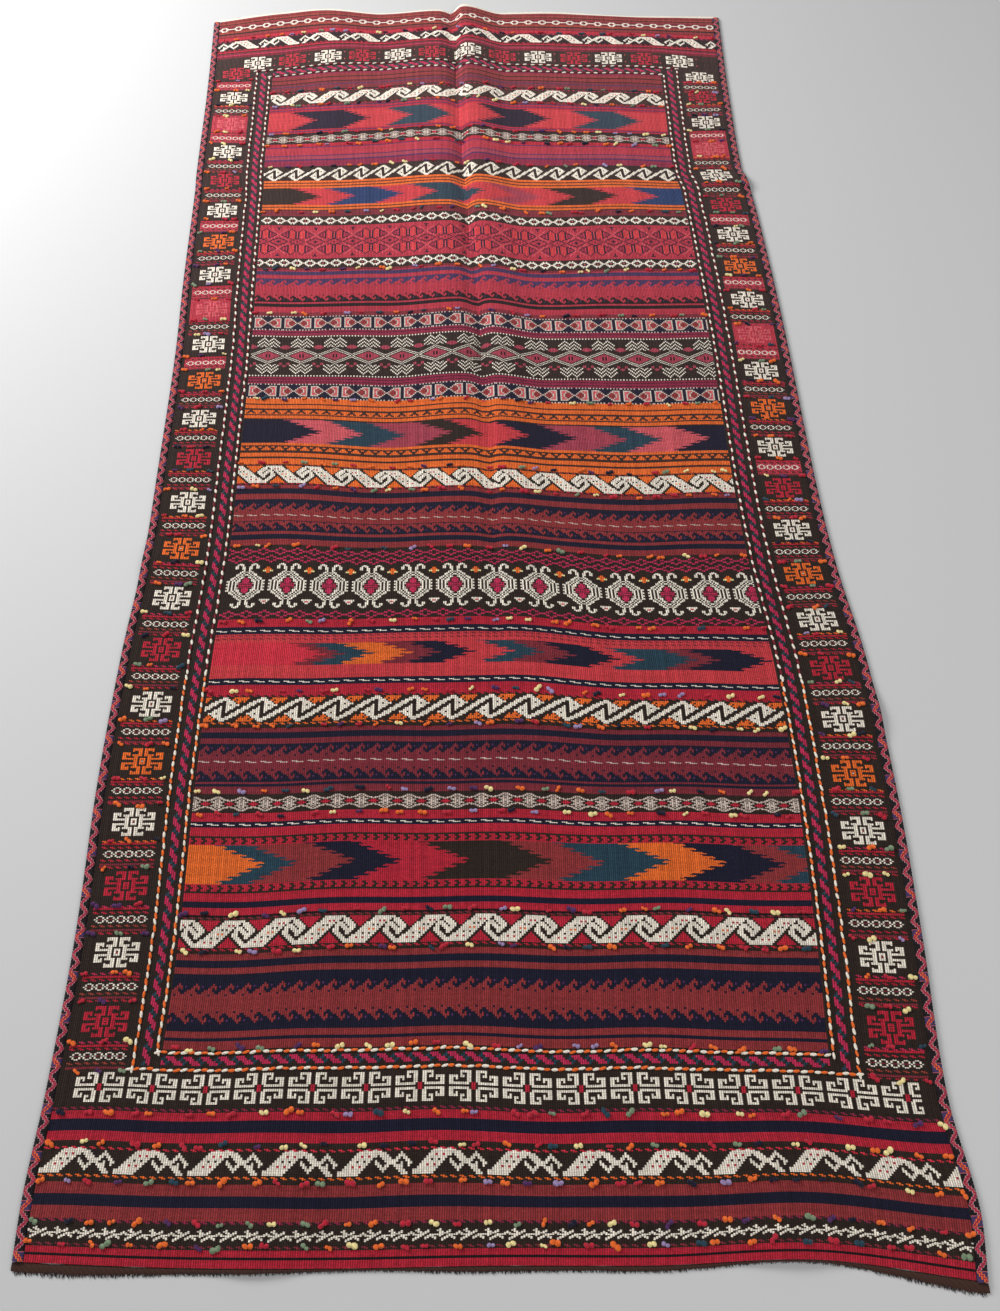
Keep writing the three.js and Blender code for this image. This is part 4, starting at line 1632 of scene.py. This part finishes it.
@dataclass
class WoolTufts:
    """Small knotted tufts beside the brocaded bands, each of two lobes.

    Args:
        lie: how the cloth lies.
        rows: woven distance and span of each row of tufts.
        pitch: mean distance between tufts in a row, in mm.
        half_sizes: half length, half width and half height of a lobe, in mm.
        uneven: how far a tuft strays along its row, as a share of the step.
        stray: how far tufts stray off their row, in mm.
        size_range: smallest and largest tuft, as a share of these sizes.
        lobe_range: smallest and largest lobe, as a share of its tuft.
        height: height of a lobe's centre over the sheet, in mm.
        turn: how far tufts turn off their row, in radians.
        lobe_turn: how far a lobe turns off its tuft at most, in radians.
        apart: distance of a lobe from the tuft's middle, as a share of its half length.
        yarns: yarns of the tufts, each with how often it comes.
    """

    lie: Lie
    rows: list[tuple[float, Span]]
    pitch: float = 33.0
    half_sizes: tuple[float, float, float] = (3.9, 3.5, 2.5)
    uneven: float = 0.34
    stray: float = 1.2
    size_range: Span = (0.72, 1.15)
    lobe_range: Span = (0.82, 1.18)
    height: float = 1.4
    turn: float = 0.35
    lobe_turn: float = 0.7
    apart: float = 0.8
    yarns: tuple[tuple[Yarn, float], ...] = (
        (Yarn.ORANGE, 0.25), (Yarn.RED, 0.25), (Yarn.CREAM, 0.15), (Yarn.GREY_GREEN, 0.08),
        (Yarn.LAVENDER, 0.07), (Yarn.PURPLE, 0.07), (Yarn.TEAL, 0.06), (Yarn.NAVY, 0.07),
    )

    def build(self) -> bpy.types.Object:
        """Builds all tufts as one piece: two pills side by side for each, at seeded uneven steps."""
        chance = np.random.default_rng(SEED + 1)
        across, along = [], []
        for row_along, span in self.rows:
            count = max(int((span[1] - span[0]) / self.pitch), 3)
            even = np.linspace(span[0] + 8, span[1] - 8, count)
            even = even + chance.uniform(-self.uneven, self.uneven, count) * (even[1] - even[0])
            across.append(np.clip(even, span[0] + 2, span[1] - 2))
            along.append(row_along + chance.normal(0.0, self.stray, count))
        across, along = np.concatenate(across), np.concatenate(along)
        weights = np.array([weight for _, weight in self.yarns])
        kind = chance.choice(len(self.yarns), len(across), p=weights / weights.sum())
        marks = np.array([yarn.mark for yarn, _ in self.yarns])[kind]
        size = chance.uniform(*self.size_range, len(across))
        centre = self.lie.points(across, along, self.lie.thickness + self.height)
        angle = chance.normal(0.0, self.turn, len(across))
        level = np.stack([np.cos(angle), np.sin(angle), np.zeros_like(angle)], axis=-1)
        gap = (self.half_sizes[0] * self.apart * METRES * size)[:, None]
        centres = np.concatenate([centre - level * gap, centre + level * gap])
        turn = angle[None, :] + chance.uniform(-self.lobe_turn, self.lobe_turn, (2, len(across)))
        forwards = np.stack([np.cos(turn), np.sin(turn), np.zeros_like(turn)], axis=-1).reshape(-1, 3)
        spread = chance.uniform(*self.lobe_range, (len(centres), 3))
        sizes = np.array(self.half_sizes) * np.tile(size, 2)[:, None] * spread
        return RaisedYarns().build("wool_tufts", centres, forwards, sizes, np.tile(marks, 2),
                                   LooseYarnFinish("tuft_wool", ply=0.3, depth=0.0008))


class Side(Enum):
    """Side edges of the cloth."""

    LEFT = "left"
    RIGHT = "right"


@dataclass
class Selvedge:
    """Overcast side edge: a flattened tube of wraps round a bundle of warps, with a magenta cross stitch.

    Args:
        lie: how the cloth lies.
        side: which edge.
        half_width: half the tube's width, in mm.
        half_height: half its height, in mm.
        wrap: distance between wraps, in mm.
        ring_step: distance between the tube's rings, in mm.
        around: points in a ring.
        zigzag: length of one zigzag of the cross stitch, in mm.
        stitch_reach: how far it goes to each side, as a share of the tube's half width.
        stitch_half: half its width, as the same share.
        square: power that squares the ring's corners.
    """

    lie: Lie
    side: Side
    half_width: float = 7.3
    half_height: float = 2.9
    wrap: float = 4.0
    ring_step: float = 1.0
    around: int = 16
    zigzag: float = 24.0
    stitch_reach: float = 0.75
    stitch_half: float = 0.27
    square: float = 0.8

    def build(self) -> bpy.types.Object:
        """Builds the edge.

        A ring is a flattened circle whose corners are squared by a power, swollen by the sine of its place
        in a wrap. The cross stitch is a triangle wave over the upper side, and stands proud of the wraps.
        """
        count = int(self.lie.length / self.ring_step) + 1
        along, turn = np.meshgrid(np.linspace(0, self.lie.length, count),
                                  np.linspace(0, 2 * math.pi, self.around, endpoint=False), indexing="ij")
        wrapped = np.abs(np.sin(math.pi * along / self.wrap + 0.7 * np.cos(turn)))
        cos, sin = np.cos(turn), np.sin(turn)
        wave = np.abs((along / self.zigzag) % 1.0 * 2 - 1) * 2 * self.stitch_reach - self.stitch_reach
        stroke = (np.abs(cos - wave) < self.stitch_half) & (sin > 0.1)
        swell = 0.9 + 0.1 * wrapped + 0.12 * stroke
        out = self.half_width * np.sign(cos) * np.abs(cos) ** self.square * np.minimum(swell, 1.0)
        up = self.half_height * (1 + np.sign(sin) * np.abs(sin) ** self.square * swell)
        left, right = self.lie.edges(along)
        half = self.lie.selvedge / 2
        if self.side is Side.LEFT:
            across, share, x = half, 0.0, left + half + out
        else:
            across, share, x = WIDTH - half, 1.0, right - half + out
        base = self.lie.points(np.full_like(along, across), along) / METRES
        y = self.lie.weft_y(np.full_like(along, share), along)
        points = np.stack([x, y, base[..., 2] + np.maximum(up, 0.0)], axis=-1) * METRES
        faces = grid_faces(count, self.around, closed=True)[:, ::-1].tolist()
        last = (count - 1) * self.around
        faces.append(list(range(self.around)))
        faces.append([last + k for k in range(self.around - 1, -1, -1)])
        piece = mesh_piece(f"selvedge_{self.side.value}_overcast", points, faces)
        dark = (along // (3 * self.wrap)).astype(int) % 5 == 0
        ground = np.where(dark, Yarn.NIGHT_PURPLE.mark, Yarn.BLACK.mark)
        add_values(piece.data, "Yarn", np.where(stroke, Yarn.PLUM.mark, ground).ravel())
        finish = LooseYarnFinish(f"overcast_wool_{self.side.value}", ply=0.4)
        piece.data.materials.append(finish.material())
        return piece


@dataclass
class CutEnd:
    """Cut end of the cloth: a narrow bare web and the loose warp ends beyond it.

    Args:
        lie: how the cloth lies.
        name: name of the piece.
        along: woven distance of the end.
        outward: 1 for the far end, -1 for the near end.
        web: mean width of the web, in mm.
        waves: how far its width swells and shrinks, as a share.
        lengths: shortest and longest warp end, in mm.
        corner: how much wider the web is at the left and right corners, in mm.
        yarns: yarns of the web and of the warp ends.
        corner_shares: shares of the width over which the two corners widen.
        web_rings: rings of the web's bar.
        web_around: points in such a ring.
        web_half_height: half the bar's height, in mm.
        warp_pitch: distance between the warps that show in the web, in mm.
        threads: how many warp ends there are.
        sides: points in a ring of a warp end.
        rings: rings of a warp end.
        thread_radius: mean radius of a warp end at its root, in mm.
    """

    lie: Lie
    name: str
    along: float
    outward: int
    web: float
    waves: float
    lengths: Span
    corner: Span
    yarns: tuple[Yarn, Yarn]
    corner_shares: Span = (0.34, 0.16)
    web_rings: int = 1221
    web_around: int = 8
    web_half_height: float = 1.25
    warp_pitch: float = 5.6
    threads: int = 1100
    sides: int = 4
    rings: int = 6
    thread_radius: float = 0.58

    def build(self) -> bpy.types.Object:
        """Builds the web and the threads in one mesh.

        The web is a rounded bar whose upper face waves over and under each warp. A thread starts inside
        the web, runs outwards by its length, bends aside by the square of its run, falls to the floor by
        a smoothstep and tapers to a blunt tip.
        """
        chance = np.random.default_rng(SEED + 5 + self.outward)
        web_points, web_faces = self.web_mesh()
        across = np.linspace(5.0, WIDTH - 5.0, self.threads) + chance.uniform(-0.8, 0.8, self.threads)
        root = self.border(across)
        web = self.reach(across)
        length = chance.uniform(*self.lengths, self.threads) * (0.7 + 0.3 * web / self.web)
        lean = chance.normal(0.0, 0.28, self.threads) * length
        run = np.linspace(0, 1, self.rings)[None, :]
        taper = 1 - 0.6 * run ** 2
        radius = self.thread_radius * taper * chance.uniform(0.7, 1.2, (self.threads, 1))
        rest = np.maximum(root[:, 2:3], 0.0) * (1 - smooth(run)) + radius
        rest = rest + 0.4 * chance.random((self.threads, 1))
        out = (web[:, None] - 1.0 + length[:, None] * run) * self.outward
        curl = chance.normal(0.0, 1.0, (self.threads, 1)) * np.sin(run * math.pi) * 0.9
        aside = root[:, :1] + lean[:, None] * run ** 2 + curl
        middle = np.stack([aside, root[:, 1:2] + out, rest], axis=-1)
        turn = np.linspace(0, 2 * math.pi, self.sides, endpoint=False)
        ring = np.stack([np.cos(turn), np.zeros_like(turn), np.sin(turn)], axis=-1)
        thread_points = middle[:, :, None, :] + radius[:, :, None, None] * ring[None, None]
        per_thread = self.rings * self.sides
        body = grid_faces(self.rings, self.sides, closed=True)
        caps = np.array([range(self.sides - 1, -1, -1), range(per_thread - self.sides, per_thread)])
        each = np.concatenate([body, caps])
        if self.outward > 0:
            each = each[:, ::-1]
        starts = (len(web_points) + np.arange(self.threads) * per_thread)[:, None, None]
        faces = [*web_faces.tolist(), *(each[:, ::-1] + starts).reshape(-1, 4).tolist()]
        points = np.concatenate([web_points, thread_points.reshape(-1, 3)]) * METRES
        piece = mesh_piece(self.name, points, faces)
        kinds = np.where(chance.random(self.threads) < 0.8, self.yarns[1].mark, self.yarns[0].mark)
        marks = np.concatenate([np.full(len(web_points), self.yarns[0].mark), np.repeat(kinds, per_thread)])
        add_values(piece.data, "Yarn", marks)
        piece.data.materials.append(LooseYarnFinish(self.name + "_wool", ply=0.5).material())
        return piece

    def reach(self, across: Numbers) -> Numbers:
        """Width of the web in mm: its mean, swollen by two slow sines, and wider at both corners."""
        swell = 1 + self.waves * (0.6 * np.sin(across / 95 + 0.6) + 0.4 * np.sin(across / 41))
        share = across / WIDTH
        left = self.corner[0] * smooth(1 - share / self.corner_shares[0])
        right = self.corner[1] * smooth(1 - (1 - share) / self.corner_shares[1])
        return self.web * swell + (left + right)

    def border(self, across: Numbers) -> Numbers:
        """Points of the cloth's end line in mm, selvedges included."""
        along = np.full_like(across, self.along)
        left, right = self.lie.edges(along)
        x = left + (right - left) * across / WIDTH
        y = self.lie.weft_y((x - left) / (right - left), along)
        return np.stack([x, y, self.lie.lift(x, y, along)], axis=-1)

    def web_mesh(self) -> tuple[Numbers, Whole]:
        """Rounded bar along the end, as rings of points in mm, with its faces."""
        across = np.linspace(0.5, WIDTH - 0.5, self.web_rings)
        root = self.border(across)
        turn = np.linspace(0, 2 * math.pi, self.web_around, endpoint=False)
        ripple = 1 + 0.12 * np.sin(across * 2 * math.pi / self.warp_pitch)[:, None]
        uneven = 1 + 0.16 * np.sin(across / 37)[:, None] * np.sin(across / 11)[:, None]
        out = self.reach(across)[:, None] / 2 * (1 + np.cos(turn)[None, :] * uneven) + 0.3
        up = self.web_half_height * (1 + np.sin(turn)[None, :] * ripple)
        points = np.stack([np.broadcast_to(root[:, :1], out.shape), root[:, 1:2] + out * self.outward,
                           root[:, 2:3] + np.maximum(up, 0.0)], axis=-1).reshape(-1, 3)
        last = self.web_around - 1
        cap = np.array([[k, k + 1, last - 1 - k, last - k] for k in range(last // 2)])
        faces = np.concatenate([grid_faces(self.web_rings, self.web_around, closed=True), cap[:, ::-1],
                                cap + (self.web_rings - 1) * self.web_around])
        return points, faces if self.outward > 0 else faces[:, ::-1]


@dataclass
class Studio:
    """Pale floor, soft lights and the camera.

    Args:
        eye: place of the camera, in metres.
        pitch: how far it looks down, in degrees.
        yaw: how far it is turned to the left, in degrees.
        roll: how far it is tilted, in degrees.
        lens: focal length for a 36 mm sensor, in mm.
        floor_half: half the side of the floor, in metres.
        floor_drop: how far the floor lies under the cloth, in metres.
        floor_grey: lightness of the floor, as linear light.
        floor_roughness: its roughness.
        sky: strength of the even world light.
        lamps: name, place, side and power of each soft light, in metres and watts.
    """

    eye: tuple[float, float, float] = (0.038, -1.318, 1.592)
    pitch: float = 61.2
    yaw: float = -0.56
    roll: float = -1.67
    lens: float = 30.2
    floor_half: float = 12.0
    floor_drop: float = 0.0004
    floor_grey: float = 0.5
    floor_roughness: float = 0.85
    sky: float = 0.42
    lamps: tuple[tuple[str, tuple[float, float, float], float, float], ...] = (
        ("window_light", (-2.6, 1.9, 2.0), 1.6, 175.0),
        ("fill_light", (2.4, -2.4, 3.0), 2.4, 60.0),
    )

    def camera(self) -> bpy.types.Object:
        """Adds the camera at the photograph's viewing angle and makes it the scene's camera."""
        data = bpy.data.cameras.new("camera")
        data.lens = self.lens
        data.sensor_width = 36.0
        data.clip_start = 0.01
        camera = bpy.data.objects.new("camera", data)
        pitch, yaw, roll = (math.radians(angle) for angle in (self.pitch, self.yaw, self.roll))
        ahead = math.cos(pitch)
        forward = Vector((math.sin(yaw) * ahead, math.cos(yaw) * ahead, -math.sin(pitch)))
        level = Vector((math.cos(yaw), -math.sin(yaw), 0.0))
        upward = level.cross(forward)
        right = math.cos(roll) * level + math.sin(roll) * upward
        top = math.cos(roll) * upward - math.sin(roll) * level
        turned = Matrix((right, top, -forward)).transposed()
        camera.matrix_world = Matrix.Translation(self.eye) @ turned.to_4x4()
        bpy.context.scene.collection.objects.link(camera)
        bpy.context.scene.camera = camera
        return camera

    def floor(self) -> bpy.types.Object:
        """Adds a plain pale floor just under the cloth."""
        corners = np.array([(-1.0, -1.0, 0.0), (1.0, -1.0, 0.0), (1.0, 1.0, 0.0), (-1.0, 1.0, 0.0)])
        corners = corners * self.floor_half - (0.0, 0.0, self.floor_drop)
        floor = mesh_piece("floor", corners, [[0, 1, 2, 3]], smooth_shading=False)
        nodes = NodeTree("pale_floor")
        nodes.shader.inputs["Base Color"].default_value = (*[self.floor_grey] * 3, 1.0)
        nodes.shader.inputs["Roughness"].default_value = self.floor_roughness
        floor.data.materials.append(nodes.material)
        return floor

    def lights(self) -> None:
        """Adds an even pale world and two large soft lights over the cloth."""
        world = bpy.data.worlds.new("studio")
        world.use_nodes = True
        background = world.node_tree.nodes["Background"]
        background.inputs["Color"].default_value = (1.0, 1.0, 1.0, 1.0)
        background.inputs["Strength"].default_value = self.sky
        bpy.context.scene.world = world
        for name, place, size, power in self.lamps:
            data = bpy.data.lights.new(name, "AREA")
            data.shape = "SQUARE"
            data.size = size
            data.energy = power
            light = bpy.data.objects.new(name, data)
            light.location = place
            light.rotation_euler = (-Vector(place)).to_track_quat("-Z", "Y").to_euler()
            bpy.context.scene.collection.objects.link(light)

    def build(self) -> None:
        """Sets up the whole studio, with colours shown as they are."""
        self.camera()
        self.floor()
        self.lights()
        bpy.context.scene.view_settings.view_transform = "Standard"


def place_piece(piece: bpy.types.Object, slot: str, *nodes: str) -> bpy.types.Object:
    """Makes a piece ride on the cloth's body and hides the solids that it stands for.

    Args:
        piece: the piece.
        slot: material slot of the record, which is not used.
        nodes: solids that it stands for.

    Returns:
        The piece.
    """
    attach(piece, "root")
    if nodes:
        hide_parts(*nodes)
    LOG.info("%s: %d points, %d faces", piece.name, len(piece.data.vertices), len(piece.data.polygons))
    return piece


def main() -> None:
    """Builds the studio and the cloth."""
    logging.basicConfig(level=logging.INFO, format="%(message)s")
    Studio().build()
    lie = Lie()
    chart = WeaveChart()
    pattern = ClothPattern(chart)
    sheet = place_piece(WovenSheet(lie, chart).build(), "woven_cloth", "woven_cloth")
    trims = [
        place_piece(TwinedLines(lie).build(), "woven_cloth"),
        place_piece(WoolTufts(lie, pattern.tuft_rows).build(), "woven_cloth"),
        place_piece(Selvedge(lie, Side.LEFT).build(), "selvedge", "selvedge_left"),
        place_piece(Selvedge(lie, Side.RIGHT).build(), "selvedge", "selvedge_right"),
        place_piece(CutEnd(lie, "far_warp_ends", lie.length, 1, 8.0, 0.25, (1.5, 5.0), (0.0, 0.0),
                           (Yarn.IVORY, Yarn.IVORY)).build(), "far_fringe", "far_end_fringe"),
        place_piece(CutEnd(lie, "near_warp_ends", 0.0, -1, 4.5, 0.5, (1.5, 4.5), (5.0, 8.0),
                           (Yarn.OLIVE_BROWN, Yarn.BLACK)).build(), "near_fringe", "near_end_fringe"),
    ]


if __name__ == "__main__":
    main()
